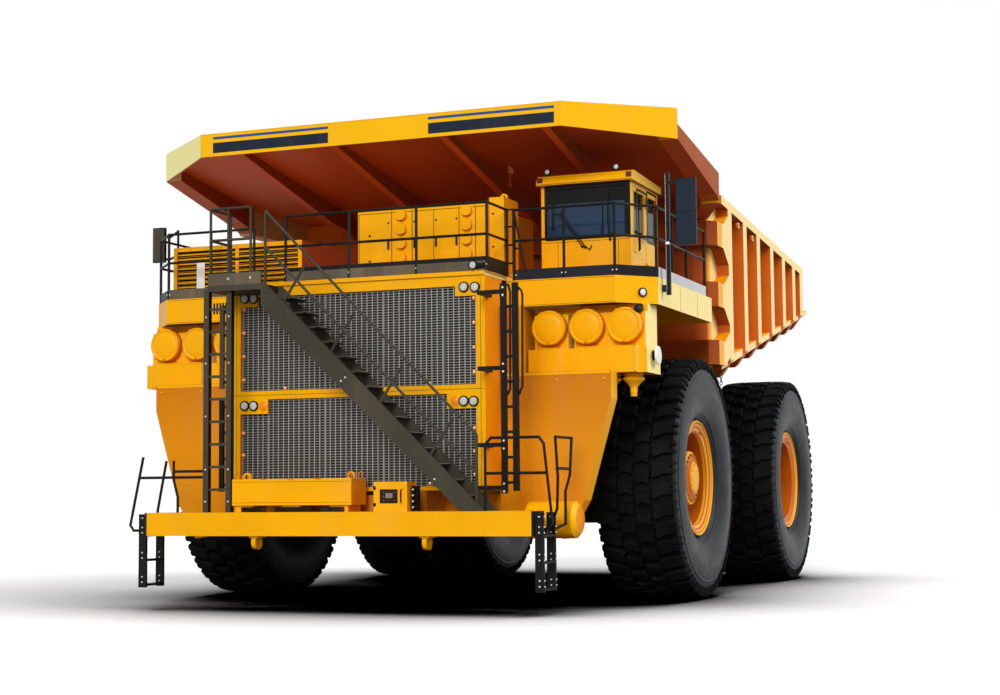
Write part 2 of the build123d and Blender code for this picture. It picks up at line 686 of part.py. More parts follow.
def body_front():
    """Front wall with rounded corners and three bolsters that wrap to the sides."""
    wall_y = (FLOOR_START_Y, FLOOR_START_Y + WALL)
    low = FLOOR_START_Z + FLOOR_THICKNESS + SEAT_GAP + FLOOR_SLOPE * WALL
    corner_x = WALL_OUTER_X - CORNER_RADIUS
    top = canopy_low(wall_y[1]) - SEAT_GAP
    wall = block((-corner_x, corner_x), wall_y, (low, top))
    corner_y = FLOOR_START_Y + CORNER_RADIUS
    corner_top = TOP_FRONT_Z - 260
    seat = (Align.CENTER, Align.CENTER, Align.MIN)
    pieces = [wall]
    for side in (1, -1):
        height = corner_top - FLOOR_START_Z
        ring = Cylinder(CORNER_RADIUS, height, align=seat)
        ring -= Cylinder(CORNER_RADIUS - WALL, height, align=seat)
        keep = block(sorted((0, side * CORNER_RADIUS)), (-CORNER_RADIUS, 0), (0, height))
        pieces.append(Pos(side * corner_x, corner_y, FLOOR_START_Z) * (ring & keep))
    depth_y = (FLOOR_START_Y - RIB_DEPTH, FLOOR_START_Y + 10)
    for z in FRONT_BOLSTERS:
        span = (z - BOLSTER_HEIGHT / 2, z + BOLSTER_HEIGHT / 2)
        pieces.append(block((-BODY_HALF_WIDTH + 150, BODY_HALF_WIDTH - 150), depth_y, span))
        for side in (1, -1):
            wrap = [
                (side * corner_x, FLOOR_START_Y - RIB_DEPTH),
                (side * (BODY_HALF_WIDTH - 150), FLOOR_START_Y - RIB_DEPTH),
                (side * BODY_HALF_WIDTH, FLOOR_START_Y - RIB_DEPTH + 150),
                (side * BODY_HALF_WIDTH, corner_y - SEAT_GAP),
                (side * (WALL_OUTER_X - 20), corner_y - SEAT_GAP),
                (side * (corner_x + 160), FLOOR_START_Y + 20),
            ]
            pieces.append(floor_plate(wrap, span))
    return fuse(pieces)


RIB_KNEE = 80
RIB_TOE_X = 4000


def rib_undercut():
    """What the ribs lose below their knees, where they bend inwards under the floor."""
    lean = RIB_FOOT + RIB_KNEE
    reach = BODY_HALF_WIDTH - RIB_TOE_X
    low = FLOOR_START_Z - RIB_FOOT
    section = make_face(Polyline(
        (RIB_TOE_X - 2 * reach, low - 2 * lean),
        (RIB_TOE_X + 2 * reach, low - 2 * lean),
        (RIB_TOE_X + 2 * reach, low + 2 * lean),
        close=True,
    ))
    run = Vector(0, TAIL_Y - FLOOR_START_Y + 100, FLOOR_TAIL_Z - FLOOR_START_Z + 100 * FLOOR_SLOPE)
    front = Plane(origin=(0, FLOOR_START_Y, 0), x_dir=(1, 0, 0), z_dir=(0, -1, 0))
    return extrude(front * section, run.length, run)


def body_side():
    """Left side wall: plate, top rail, upright ribs and the gussets between the first rib and the front."""
    start = FLOOR_START_Y + CORNER_RADIUS
    tail_rise = (TAIL_Y, FLOOR_TAIL_Z + FLOOR_THICKNESS)
    outline = [
        (start, floor_low(start)),
        (TAIL_Y, floor_low(TAIL_Y)),
        tail_rise,
        TOP_REAR,
        (start, top_edge(start)),
    ]
    pieces = [side_plate(outline, (WALL_INNER_X, WALL_OUTER_X))]
    rail = [
        (start, top_edge(start) - RAIL_HEIGHT),
        (TOP_REAR[0] + 60, top_edge(TOP_REAR[0]) - RAIL_HEIGHT),
        (TOP_REAR[0], TOP_REAR[1]),
        (start, top_edge(start)),
    ]
    pieces.append(side_plate(rail, (WALL_OUTER_X - 10, BODY_HALF_WIDTH)))
    chamfer = 50
    for place in RIB_PLACES:
        y = (aft(place) - RIB_WIDTH / 2, aft(place) + RIB_WIDTH / 2)
        rib = side_plate([
            (y[0], floor_low(y[0]) - RIB_FOOT),
            (y[1], floor_low(y[1]) - RIB_FOOT),
            (y[1], top_edge(y[1]) - RAIL_HEIGHT + 10),
            (y[0], top_edge(y[0]) - RAIL_HEIGHT + 10),
        ], (WALL_INNER_X, BODY_HALF_WIDTH))
        pieces.append(rib)
    sill = 160
    skid = [
        (start, floor_low(start)),
        (TAIL_Y, floor_low(TAIL_Y)),
        (TAIL_Y, floor_low(TAIL_Y) + sill / 2),
        (start, floor_low(start) + sill),
    ]
    pieces.append(side_plate(skid, (WALL_OUTER_X - 10, BODY_HALF_WIDTH - chamfer)))
    first = aft(RIB_PLACES[0]) - RIB_WIDTH / 2
    for z in FRONT_BOLSTERS:
        half = BOLSTER_HEIGHT / 2
        gusset = [
            (start, z - half),
            (start + 80, z - half),
            (first + 10, z - half - 260),
            (first + 10, z + half + 200),
            (start + 80, z + half),
            (start, z + half),
        ]
        if z - half - 260 < floor_low(first):
            gusset[2] = (first + 10, floor_low(first) + sill)
        pieces.append(side_plate(gusset, (WALL_OUTER_X - 10, BODY_HALF_WIDTH)))
    return fuse(pieces) - rib_undercut()


CANOPY_RIBS = (950, 2650)
RIB_BAR = 130
EDGE_BEAM = 300
RIB_ARC = 1100


def canopy_rib(x):
    """Rib under the canopy plate, deeper towards the back, that ends in an arc on the front wall."""
    wall_y = FLOOR_START_Y - SEAT_GAP
    low_z = FRONT_BOLSTERS[-1] + BOLSTER_HEIGHT / 2 + SEAT_GAP
    start = (APRON_Y + APRON_THICKNESS, canopy_low(APRON_Y) - 70)
    knee = (wall_y - RIB_ARC, 6560)
    foot = (wall_y - RIB_DEPTH + 20, low_z)
    middle = (foot[0] - 330, (knee[1] + low_z) / 2 + 40)
    edges = [
        Line(start, knee),
        ThreePointArc(knee, middle, foot),
        Line(foot, (wall_y, low_z)),
        Line((wall_y, low_z), (wall_y, canopy_low(wall_y) + 5)),
        Line((wall_y, canopy_low(wall_y) + 5), (start[0], canopy_low(start[0]) + 5)),
        Line((start[0], canopy_low(start[0]) + 5), start),
    ]
    face = Plane(origin=(x[0], 0, 0), x_dir=(0, 1, 0), z_dir=(1, 0, 0)) * make_face(edges)
    return extrude(face, x[1] - x[0])


def canopy():
    """Sloping plate with a deep apron round its front, edge beams and long ribs."""
    back = FLOOR_START_Y + WALL + 40
    plan = [
        (-APRON_HALF_WIDTH, APRON_Y),
        (APRON_HALF_WIDTH, APRON_Y),
        (CANOPY_HALF_WIDTH, APRON_CORNER_Y),
        (CANOPY_HALF_WIDTH, aft(500)),
        (WALL_INNER_X, back),
        (-WALL_INNER_X, back),
        (-CANOPY_HALF_WIDTH, aft(500)),
        (-CANOPY_HALF_WIDTH, APRON_CORNER_Y),
    ]
    slab = side_plate([
        (APRON_Y - 10, canopy_low(APRON_Y - 10)),
        (back + 10, canopy_low(back + 10)),
        (back + 10, canopy_low(back + 10) + CANOPY_PLATE),
        (APRON_Y - 10, canopy_low(APRON_Y - 10) + CANOPY_PLATE),
    ], (-CANOPY_HALF_WIDTH, CANOPY_HALF_WIDTH))
    plate = slab & floor_plate(plan, (CANOPY_LOW_Z, CANOPY_HIGH_Z))
    pieces = [plate]
    front = (7153, 7527)
    outer = (7069, 7547)
    pieces.append(block((-APRON_HALF_WIDTH, APRON_HALF_WIDTH), (APRON_Y, APRON_Y + APRON_THICKNESS), front))
    corner = Vector(APRON_HALF_WIDTH, APRON_Y, 0)
    run = Vector(CANOPY_HALF_WIDTH, APRON_CORNER_Y, 0) - corner
    quad = [(0, front[0]), (run.length, outer[0]), (run.length, outer[1]), (0, front[1])]
    chamfer_face = Plane(origin=corner, x_dir=run, z_dir=run.cross(Vector(0, 0, 1))) * make_face(
        Polyline(*quad, close=True)
    )
    chamfer = extrude(chamfer_face, -APRON_THICKNESS)
    pieces += [chamfer, mirrored(chamfer)]
    edge_x = (CANOPY_HALF_WIDTH - EDGE_BEAM, CANOPY_HALF_WIDTH)
    edge = side_plate([
        (APRON_CORNER_Y, outer[0]),
        (aft(320), 6575),
        (aft(500), 6500),
        (aft(500), canopy_low(aft(500)) + 5),
        (APRON_CORNER_Y, canopy_low(APRON_CORNER_Y) + 5),
    ], edge_x)
    wing = floor_plate([
        (CANOPY_HALF_WIDTH - EDGE_BEAM, aft(490)),
        (CANOPY_HALF_WIDTH, aft(490)),
        (WALL_OUTER_X, FLOOR_START_Y - SEAT_GAP),
        (WALL_INNER_X - 200, FLOOR_START_Y - SEAT_GAP),
    ], (6380, 7000)) & side_plate([
        (aft(400), 6480),
        (FLOOR_START_Y, 6345),
        (FLOOR_START_Y, canopy_low(FLOOR_START_Y) + 5),
        (aft(400), canopy_low(aft(400)) + 5),
    ], (-5000, 5000))
    pieces += [edge, wing, mirrored(edge), mirrored(wing)]
    for place in CANOPY_RIBS:
        rib = canopy_rib((place - RIB_BAR / 2, place + RIB_BAR / 2))
        pieces += [rib, mirrored(rib)]
    lip_y = (APRON_Y + APRON_THICKNESS - 5, APRON_Y + 260)
    lip = block((-APRON_HALF_WIDTH, APRON_HALF_WIDTH), lip_y, (7250, 7330))
    return fuse(pieces, lip)


HOIST_BARREL_RADIUS = 170
HOIST_STAGE_RADIUS = 135
HOIST_ROD_RADIUS = 100
HOIST_NECK_RADIUS = 55


def hoist():
    """Two-stage hoist: barrel pinned to the frame, middle stage, and rod up to the body."""
    foot = Vector(HOIST_X, *HOIST_FOOT)
    head = Vector(HOIST_X, *HOIST_HEAD)
    line = (head - foot).normalized()
    half = Vector(HOIST_EYE_WIDTH / 2, 0, 0)
    reach = (head - foot).length
    barrel_top = foot + line * (reach - 360)
    stage_top = foot + line * (reach - 300)
    barrel = fuse(
        tube(foot - half, foot + half, HOIST_EYE_RADIUS),
        tube(foot + line * 20, foot + line * 200, HOIST_NECK_RADIUS),
        tube(foot + line * 150, barrel_top, HOIST_BARREL_RADIUS),
    ) - tube(foot + line * 220, barrel_top + line, HOIST_STAGE_RADIUS + RUNNING_GAP)
    barrel -= tube(foot - half * 2, foot + half * 2, HOIST_PIN_RADIUS + RUNNING_GAP)
    stage = tube(foot + line * 230, stage_top, HOIST_STAGE_RADIUS) - tube(
        foot + line * 260, stage_top + line, HOIST_ROD_RADIUS + RUNNING_GAP
    )
    piston_rod = fuse(
        tube(foot + line * 270, foot + line * (reach - 230), HOIST_ROD_RADIUS),
        tube(foot + line * (reach - 240), head, HOIST_NECK_RADIUS),
        tube(head - half, head + half, HOIST_EYE_RADIUS),
    )
    return barrel, stage, piston_rod


def make_body():
    nodes["body_floor"] = body_floor()
    nodes["body_front_wall"] = body_front()
    add_both("body_sides", body_side())
    nodes["canopy"] = canopy()
    barrel, stage, piston_rod = hoist()
    add_both("hoist_barrels", barrel)
    add_both("hoist_stages", stage)
    add_both("hoist_rods", piston_rod)


# Bumper, decks, stair and rails
BUMPER_HALF_WIDTH = 3130
BUMPER_FRONT_Y = aft(-FRONT_OVERHANG)
BUMPER_BACK_Y = FRAME_FRONT_Y - SEAT_GAP
TOW_EYE_X = (-1290, 1460)
RAIL_RADIUS = 21
POST_RADIUS = 23
RAIL_TOP = 5970
RAIL_MID = 5500
DECK_TOP = 4900
DECK_PLATE = 60
SKIRT = 40
SKIRT_LOW = 4495
DECK_FRONT_Y = aft(-3060)
DECK_CORNER_Y = aft(-2515)
DECK_REAR_Y = aft(620)
DECK_HALF_WIDTH = 4326
DECK_CORNER_X = DECK_HALF_WIDTH - 501
CENTRE_HALF_WIDTH = RADIATOR_X


def bumper():
    """Cross beam with chamfered ends, a step plate on top, tow eyes below and end brackets."""
    y = (BUMPER_FRONT_Y, BUMPER_BACK_Y)
    beam = floor_plate([
        (-BUMPER_HALF_WIDTH, y[0]),
        (BUMPER_HALF_WIDTH, y[0]),
        (BUMPER_HALF_WIDTH, y[0] + 420),
        (BUMPER_HALF_WIDTH - 300, y[1]),
        (-BUMPER_HALF_WIDTH + 300, y[1]),
        (-BUMPER_HALF_WIDTH, y[0] + 420),
    ], (BUMPER_LOW, BUMPER_TOP))
    hooks, holes = [], []
    for x in TOW_EYE_X:
        shank = block((x - 70, x + 70), (y[0] + 40, y[0] + 300), (BUMPER_LOW - 25, BUMPER_LOW + 5))
        middle = Pos(x, y[0] + 150, BUMPER_LOW - 90) * Rot(Y=90)
        hooks += [shank, middle * Cylinder(110, 70)]
        holes.append(middle * Cylinder(50, 200))
    return fuse(beam, hooks) - holes


LADDER_X = (BUMPER_HALF_WIDTH + SEAT_GAP, BUMPER_HALF_WIDTH + 130)
LADDER_Y = (BUMPER_FRONT_Y + 40, BUMPER_FRONT_Y + 560)
LADDER_LOW = 340
LADDER_TOP = 1440
LOOP_TOP = 2490
LOOP_Y = BUMPER_FRONT_Y + 215
LOOP_FOOT_Z = BUMPER_TOP + SEAT_GAP


def rod_path(points):
    """Handrail along points, one bar to each run, that reaches a little into the next bend."""
    runs = []
    for a, b in zip(points, points[1:]):
        ahead = (Vector(*b) - Vector(*a)).normalized() * RAIL_RADIUS * 0.6
        runs.append(rod(a, Vector(*b) + ahead, RAIL_RADIUS))
    return runs


def boarding_ladder():
    """Side-facing ladder on the bumper's end: two deep stiles with rungs between them."""
    stiles = [
        block(LADDER_X, (y, y + 45), (LADDER_LOW, LADDER_TOP))
        for y in (LADDER_Y[0], LADDER_Y[1] - 45)
    ]
    rungs = [
        block((LADDER_X[0] + 15, LADDER_X[1]), LADDER_Y, (z, z + 35))
        for z in range(LADDER_LOW + 20, LADDER_TOP, 370)
    ]
    bracket = block(LADDER_X, (LOOP_Y - 45, LOOP_Y + 45), (LADDER_TOP - 300, LADDER_TOP - 210))
    return fuse(stiles, rungs, bracket)


def left_loops():
    """Handrail loop on the bumper beside the ladder, and a second one behind it."""
    x0, x1, y = 2330, LADDER_X[1], LOOP_Y
    bar_z = 1990
    back_y = y + 790
    pieces = rod_path([
        (x0, y, LOOP_FOOT_Z),
        (x0, y, LOOP_TOP - 90),
        (x0 + 90, y, LOOP_TOP),
        (x1 - 120, y, LOOP_TOP),
        (x1 - 50, y, LOOP_TOP - 90),
        (x1 + 70, y, LADDER_TOP - 150),
        (x1 - 30, y, LADDER_TOP - 260),
    ])
    pieces.append(rod((x0, y, bar_z), (x1, y, bar_z), RAIL_RADIUS))
    pieces += rod_path([
        (x1 - 30, y + 250, LADDER_TOP - 180),
        (x1 + 60, y + 230, LADDER_TOP + 60),
        (x1 + 110, y + 130, bar_z - 60),
        (x1 + 90, y + 90, LOOP_TOP),
        (x1 + 90, back_y, LOOP_TOP),
        (x1 + 90, back_y - 90, bar_z - 30),
        (x1 + 90, back_y - 290, bar_z - 260),
        (x1 + 90, back_y - 300, LADDER_TOP - 170),
        (x1 - 30, y + 340, LADDER_TOP - 240),
    ])
    pieces.append(rod((x1 + 100, y + 110, bar_z + 60), (x1 + 90, back_y - 75, bar_z + 60), RAIL_RADIUS))
    return pieces


def right_loops():
    """Three slanted rails over the bumper's right end, tied to the stair landing's post."""
    y = LANDING_Y[0] + 105
    post_x = LANDING_X[0] - 105 - SEAT_GAP
    pieces = rod_path([
        (-LADDER_X[1] + 30, y, 1190),
        (-3470, y, 1190),
        (-3530, y, 1270),
        (-3311, y, 2294),
    ])
    pieces.append(rod((-3046, y, LOOP_FOOT_Z), (-3046, y, 1500), RAIL_RADIUS))
    pieces.append(rod((-3046, y, 1490), (-2897, y, 2242), RAIL_RADIUS))
    pieces += rod_path([
        (-2695, y, LOOP_FOOT_Z),
        (-2695, y, 1696),
        (-2768, y, 1953),
        (-2770, y, 2233),
    ])
    pieces.append(rod((-3378, y, 1990), (post_x, y, 1990), RAIL_RADIUS))
    pieces.append(rod((-2770, y, 2080), (post_x, y, 2080), RAIL_RADIUS))
    return pieces


def deck_slab(plan):
    """Deck plate with a skirt hanging round its edge."""
    plate = floor_plate(plan, (DECK_TOP - DECK_PLATE, DECK_TOP))
    skirts = []
    for a, b in zip(plan, plan[1:] + plan[:1]):
        start, end = Vector(*a, 0), Vector(*b, 0)
        run = end - start
        inward = Vector(0, 0, 1).cross(run).normalized() * SKIRT
        corners = [(p.X, p.Y) for p in (start, end, end + inward, start + inward)]
        skirts.append(floor_plate(corners, (SKIRT_LOW, DECK_TOP - 5)))
    return fuse(plate, skirts)


def side_deck():
    """Left deck: straight front, chamfered corner, long outer skirt."""
    inner = CENTRE_HALF_WIDTH + SEAT_GAP
    return deck_slab([
        (inner, DECK_FRONT_Y),
        (DECK_CORNER_X, DECK_FRONT_Y),
        (DECK_HALF_WIDTH, DECK_CORNER_Y),
        (DECK_HALF_WIDTH, DECK_REAR_Y),
        (inner, DECK_REAR_Y),
    ])


def centre_deck():
    """Walkway over the radiator and hood between the side decks."""
    x = (-CENTRE_HALF_WIDTH, CENTRE_HALF_WIDTH)
    y = (RADIATOR_FRONT_Y - 30, DECK_REAR_Y)
    plate = block(x, y, (RADIATOR_TOP + SEAT_GAP, RADIATOR_TOP + DECK_PLATE))
    hood_y = (RADIATOR_FRONT_Y + RADIATOR_DEPTH + 20, DECK_REAR_Y)
    hood = block((-1400, 1400), hood_y, (4500, RADIATOR_TOP + 10))
    hood -= block((-1360, 1360), (RADIATOR_FRONT_Y, DECK_REAR_Y + 1), (4499, RADIATOR_TOP - 40))
    return fuse(plate, hood)


def rail_line(path, posts, foot, kick, top=RAIL_TOP, mid=RAIL_MID):
    """Handrail: top and middle tubes along a plan path, posts and a kick plate."""
    pieces = []
    for a, b in zip(path, path[1:]):
        for z in (top, mid):
            pieces.append(rod((*a, z), (*b, z), RAIL_RADIUS))
        start, end = Vector(*a, 0), Vector(*b, 0)
        inward = Vector(0, 0, 1).cross(end - start).normalized() * 12
        corners = [(p.X, p.Y) for p in (start - inward, end - inward, end + inward, start + inward)]
        if kick:
            pieces.append(floor_plate(corners, (foot, foot + kick)))
    for point in posts:
        pieces.append(rod((*point, foot), (*point, top + RAIL_RADIUS), POST_RADIUS))
    return fuse(pieces)


RAIL_INSET = 30
SIDE_KICK = 160
CENTRE_KICK = 210


def side_rail():
    """Rail round the left deck's front, chamfer and outer side."""
    front = DECK_FRONT_Y + RAIL_INSET
    side = DECK_HALF_WIDTH - RAIL_INSET
    corner = (DECK_CORNER_X - 12, front)
    end = aft(300)
    path = [(CENTRE_HALF_WIDTH + 130, front), corner, (side, DECK_CORNER_Y + 12), (side, end)]
    middle = ((path[0][0] + corner[0]) / 2, front)
    posts = [path[0], middle, corner, path[2], (side, aft(-1640)), (side, aft(-820)), (side, end)]
    return rail_line(path, posts, DECK_TOP, SIDE_KICK)


LANDING_X = (-2130, -1217)
LANDING_Y = (aft(-4620), RADIATOR_FRONT_Y - 30 - SEAT_GAP)
LANDING_TOP = 4870
STAIR_FOOT_X = 2000
STAIR_Y = (aft(-4620), aft(-4050))
STAIR_TREADS = 14
STRINGER_DEPTH = 260
STRINGER_WIDTH = 40


def centre_rail():
    """Rail along the walkway's front edge, right of the stair head."""
    front = RADIATOR_FRONT_Y
    path = [(-1180, front), (2140, front), (2140, aft(-3100))]
    posts = [path[0], (-100, front), (1010, front), path[1], path[2]]
    return rail_line(path, posts, RADIATOR_TOP + DECK_PLATE, CENTRE_KICK)


def stair():
    """Two stringers with flat treads, from the bumper up to the landing's grating."""
    foot = (STAIR_FOOT_X, BUMPER_TOP + SEAT_GAP)
    head = (LANDING_X[1], LANDING_TOP)
    dx, dz = head[0] - foot[0], head[1] - foot[1]
    drop = STRINGER_DEPTH * 1.42
    outline = [
        (foot[0] + drop * 0.95, foot[1]),
        (foot[0] - 20, foot[1]),
        (head[0] - 5, head[1] - drop * 0.92),
        (head[0] - 5, head[1]),
        (head[0] + 60, head[1]),
    ]
    pieces = []
    for y in ((STAIR_Y[0], STAIR_Y[0] + STRINGER_WIDTH), (STAIR_Y[1] - STRINGER_WIDTH, STAIR_Y[1])):
        pieces.append(front_plate(outline, y))
    for step in range(1, STAIR_TREADS + 1):
        share = step / (STAIR_TREADS + 1)
        x = foot[0] + dx * share + 130
        z = foot[1] + dz * share
        tread_y = (STAIR_Y[0] + STRINGER_WIDTH - 5, STAIR_Y[1] - STRINGER_WIDTH + 5)
        pieces.append(block((x - 130, x + 130), tread_y, (z - 25, z)))
    return fuse(pieces)


def stair_rail():
    """Handrail along the stair's outer stringer, seated on top of it."""
    y = STAIR_Y[0] + STRINGER_WIDTH / 2
    foot, head = Vector(STAIR_FOOT_X + 230, y, BUMPER_TOP), Vector(LANDING_X[1] + 60, y, LANDING_TOP)
    line = head - foot
    rise = Vector(0, 0, 1080)
    slant = Vector(380, 0, 560)
    pieces = [rod(foot + rise, head + rise, RAIL_RADIUS)]
    pieces.append(rod(foot + rise * 0.5, head + rise * 0.5, RAIL_RADIUS))
    for share in (0.22, 0.45, 0.68, 0.91):
        base = foot + line * share
        pieces.append(rod(base + Vector(0, 0, 2), base + slant, RAIL_RADIUS))
    pieces.append(rod(foot + Vector(0, 0, 2), foot + rise, POST_RADIUS))
    pieces.append(rod(head - Vector(0, 0, 40), head + rise, POST_RADIUS))
    return fuse(pieces)


def landing():
    """Grating landing at the stair's head with kick plates and tall rails."""
    x, y = LANDING_X, LANDING_Y
    plate = block(x, y, (LANDING_TOP - 90, LANDING_TOP))
    kick = block(x, (y[0], y[0] + 20), (LANDING_TOP - 5, LANDING_TOP + 180))
    path = [(x[0] + 25, y[1] - 30), (x[0] + 25, y[0] + 40), (x[1] - 200, y[0] + 40)]
    rails = []
    for a, b in zip(path, path[1:]):
        for z in (6040, 5560):
            rails.append(rod((*a, z), (*b, z), RAIL_RADIUS))
    for point in path + [(x[0] + 330, y[0] + 40)]:
        rails.append(rod((*point, LANDING_TOP - 5), (*point, 6040), RAIL_RADIUS))
    posts = []
    post_z = (BUMPER_TOP + SEAT_GAP, LANDING_TOP - 80)
    for px in (x[0] - 60, x[0] + 330):
        posts.append(block((px - 45, px + 45), (y[0] + 60, y[0] + 150), post_z))
    rungs = [
        block((x[0] - 60, x[0] + 330), (y[0] + 85, y[0] + 125), (z, z + 40))
        for z in range(BUMPER_TOP + 320, LANDING_TOP - 200, 340)
    ]
    tie = block((x[0] - 105, x[0] + 5), (y[0] + 60, y[0] + 150), (LANDING_TOP - 90, LANDING_TOP - 40))
    return fuse(plate, kick, rails, posts, rungs, tie)


PIPE_FRAME_X = (2500, 2680)
PIPE_FRAME_Y = aft(-4200)
PIPE_FRAME_Z = (1740, 4720)


def pipe_frame():
    """Tall ladder-like guard in front of the radiator's left side, carried by brackets from it."""
    posts = [
        bar((x, PIPE_FRAME_Y, PIPE_FRAME_Z[0]), (x, PIPE_FRAME_Y, PIPE_FRAME_Z[1]), 84, 60)
        for x in PIPE_FRAME_X
    ]
    rungs = [
        block(PIPE_FRAME_X, (PIPE_FRAME_Y - 20, PIPE_FRAME_Y + 20), (z, z + 40))
        for z in range(PIPE_FRAME_Z[0] + 100, PIPE_FRAME_Z[1], 360)
    ]
    side_x = RADIATOR_X + SEAT_GAP
    front_y = PIPE_FRAME_Y - 25
    ties = []
    for z in (1790, 2400, 3500, 4600):
        span = (z - 30, z + 30)
        ties.append(block((side_x, PIPE_FRAME_X[0]), (front_y, front_y + 50), span))
        ties.append(block((side_x, side_x + 60), (front_y, aft(-3780)), span))
    return fuse(posts, rungs, ties)


UPRIGHT_Y = (aft(-3350), aft(-3060))


def upright():
    """Tapered front fender box from the bumper's back up to the deck's skirt."""
    outline = [
        (RADIATOR_X + SEAT_GAP, 1180),
        (3090, 1040),
        (3410, 1600),
        (3830, 3070),
        (3830, 3480),
        (RADIATOR_X + SEAT_GAP, 3480),
    ]
    box = front_plate(outline, UPRIGHT_Y)
    web = front_plate([
        (RADIATOR_X + SEAT_GAP, 3470),
        (2380, 3470),
        (2380, SKIRT_LOW - SEAT_GAP),
        (RADIATOR_X + SEAT_GAP, SKIRT_LOW - SEAT_GAP),
    ], (UPRIGHT_Y[0], UPRIGHT_Y[1] + 500))
    foot = block((RAIL_X[1] + SEAT_GAP, RADIATOR_X + 40), (UPRIGHT_Y[0] + 140, UPRIGHT_Y[1]), (1200, 1700))
    return fuse(box, web, foot)


CLEANER_X = (2740, 3330, 3920)
CLEANER_RADIUS = 265
CLEANER_SIDES = 28
CLEANER_Y = (aft(-2960), aft(-2250))
CLEANER_Z = 4165
BACKING_X = ((2480, 3015), (3105, 4215))
BACKING_Z = (3840, 4370)
HOUSING_X = (2410, 4260)
HOUSING_Z = (3460, 3845)
PLATE_X = ((2579, 2920), (3199, 4110))
CUP_X = (2698, 3255, 3621, 3978)
CUP_SIDES = 12


def dust_cup(x):
    """Rubber cup under the housing: neck, wide bowl and narrow spout."""
    section = [(-10, 0), (-10, 130), (60, 130), (75, 155), (200, 50), (340, 45), (340, 0)]
    return Pos(x, CLEANER_Y[0] + 260, HOUSING_Z[0]) * Rot(Y=90) * faceted(section, CUP_SIDES)


def air_cleaners():
    """Three canister cleaners over a front housing with raised blank plates and dust cups below."""
    back = CLEANER_Y[1]
    pieces = [block(x, (CLEANER_Y[0] + 110, back), BACKING_Z) for x in BACKING_X]
    hanger_x = (BACKING_X[0][0], BACKING_X[1][1])
    pieces.append(block(hanger_x, (CLEANER_Y[0] + 235, back), (BACKING_Z[1] - 10, SKIRT_LOW - SEAT_GAP)))
    canister = faceted([
        (0, 0),
        (0, CLEANER_RADIUS - 18),
        (18, CLEANER_RADIUS),
        (back - CLEANER_Y[0], CLEANER_RADIUS),
        (back - CLEANER_Y[0], 0),
    ], CLEANER_SIDES)
    pieces += [Pos(x, CLEANER_Y[0], CLEANER_Z) * Rot(Z=90) * canister for x in CLEANER_X]
    pieces.append(block(HOUSING_X, (CLEANER_Y[0] + 10, back), HOUSING_Z))
    for x in PLATE_X:
        pieces.append(block(x, (CLEANER_Y[0] - 50, CLEANER_Y[0] + 20), (HOUSING_Z[0] + 8, HOUSING_Z[1] + 17)))
    pieces += [dust_cup(x) for x in CUP_X]
    return fuse(pieces)


MIRROR_EDGE_X = 4870
RIGHT_MIRROR_Z = (5710, 6310)


def left_mirror():
    """Tall mirror panel on a pole that is bolted to the left deck's skirt."""
    x, y = DECK_HALF_WIDTH + 110, aft(-2300)
    pole = block((x - 40, x + 20), (y - 35, y + 35), (4650, 6500))
    tie = block((DECK_HALF_WIDTH + SEAT_GAP, x), (y - 30, y + 30), (4700, 4800))
    panel = block((MIRROR_EDGE_X - 310, MIRROR_EDGE_X), (y - 30, y + 30), (5390, 6400))
    arms = [bar((x, y, z), (MIRROR_EDGE_X - 200, y, z), 40, 40) for z in (6350, 5450)]
    return fuse(pole, tie, panel, arms)


def right_mirror():
    """Small mirror on bent arms from a thin pole beside the right deck's rail."""
    x, y = -DECK_HALF_WIDTH - 60, aft(-1830)
    pole = rod((x, y, 4650), (x, y, 6250), RAIL_RADIUS)
    tie_low = SKIRT_LOW + 205
    tie = block((x, -DECK_HALF_WIDTH - SEAT_GAP), (y - 20, y + 20), (tie_low, tie_low + 60))
    panel = block((-MIRROR_EDGE_X, 230 - MIRROR_EDGE_X), (y - 35, y + 35), RIGHT_MIRROR_Z)
    arms = [
        rod((x, y, low), (330 - MIRROR_EDGE_X, y, high), RAIL_RADIUS)
        for low, high in ((6230, 6140), (5820, 5760))
    ]
    ends = [
        rod((330 - MIRROR_EDGE_X, y, z), (200 - MIRROR_EDGE_X, y, z), RAIL_RADIUS)
        for z in (6140, 5760)
    ]
    return fuse(pole, tie, panel, arms, ends)


CAB_X = (CENTRE_HALF_WIDTH + 250, DECK_HALF_WIDTH - 526)
CAB_SEAT_X = (CAB_X[0] + CAB_X[1]) / 2 - 75
CAB_Y = (aft(-2150), aft(-700))
CAB_LOW = DECK_TOP + SEAT_GAP
CAB_TOP = 6460
CAB_WALL = 60
SILL_Z = 5640
LINTEL_Z = 6400
DOOR_Y = (aft(-2050), aft(-1380))
DOOR_LOW = CAB_LOW + 90
HINGE_X = CAB_X[1] + 20
HINGE_Y = DOOR_Y[1] - 4
HINGE_RADIUS = 18
HINGE_PIN_RADIUS = 9
HINGE_HEIGHTS = (5150, 6200)
HINGE_LENGTH = 60


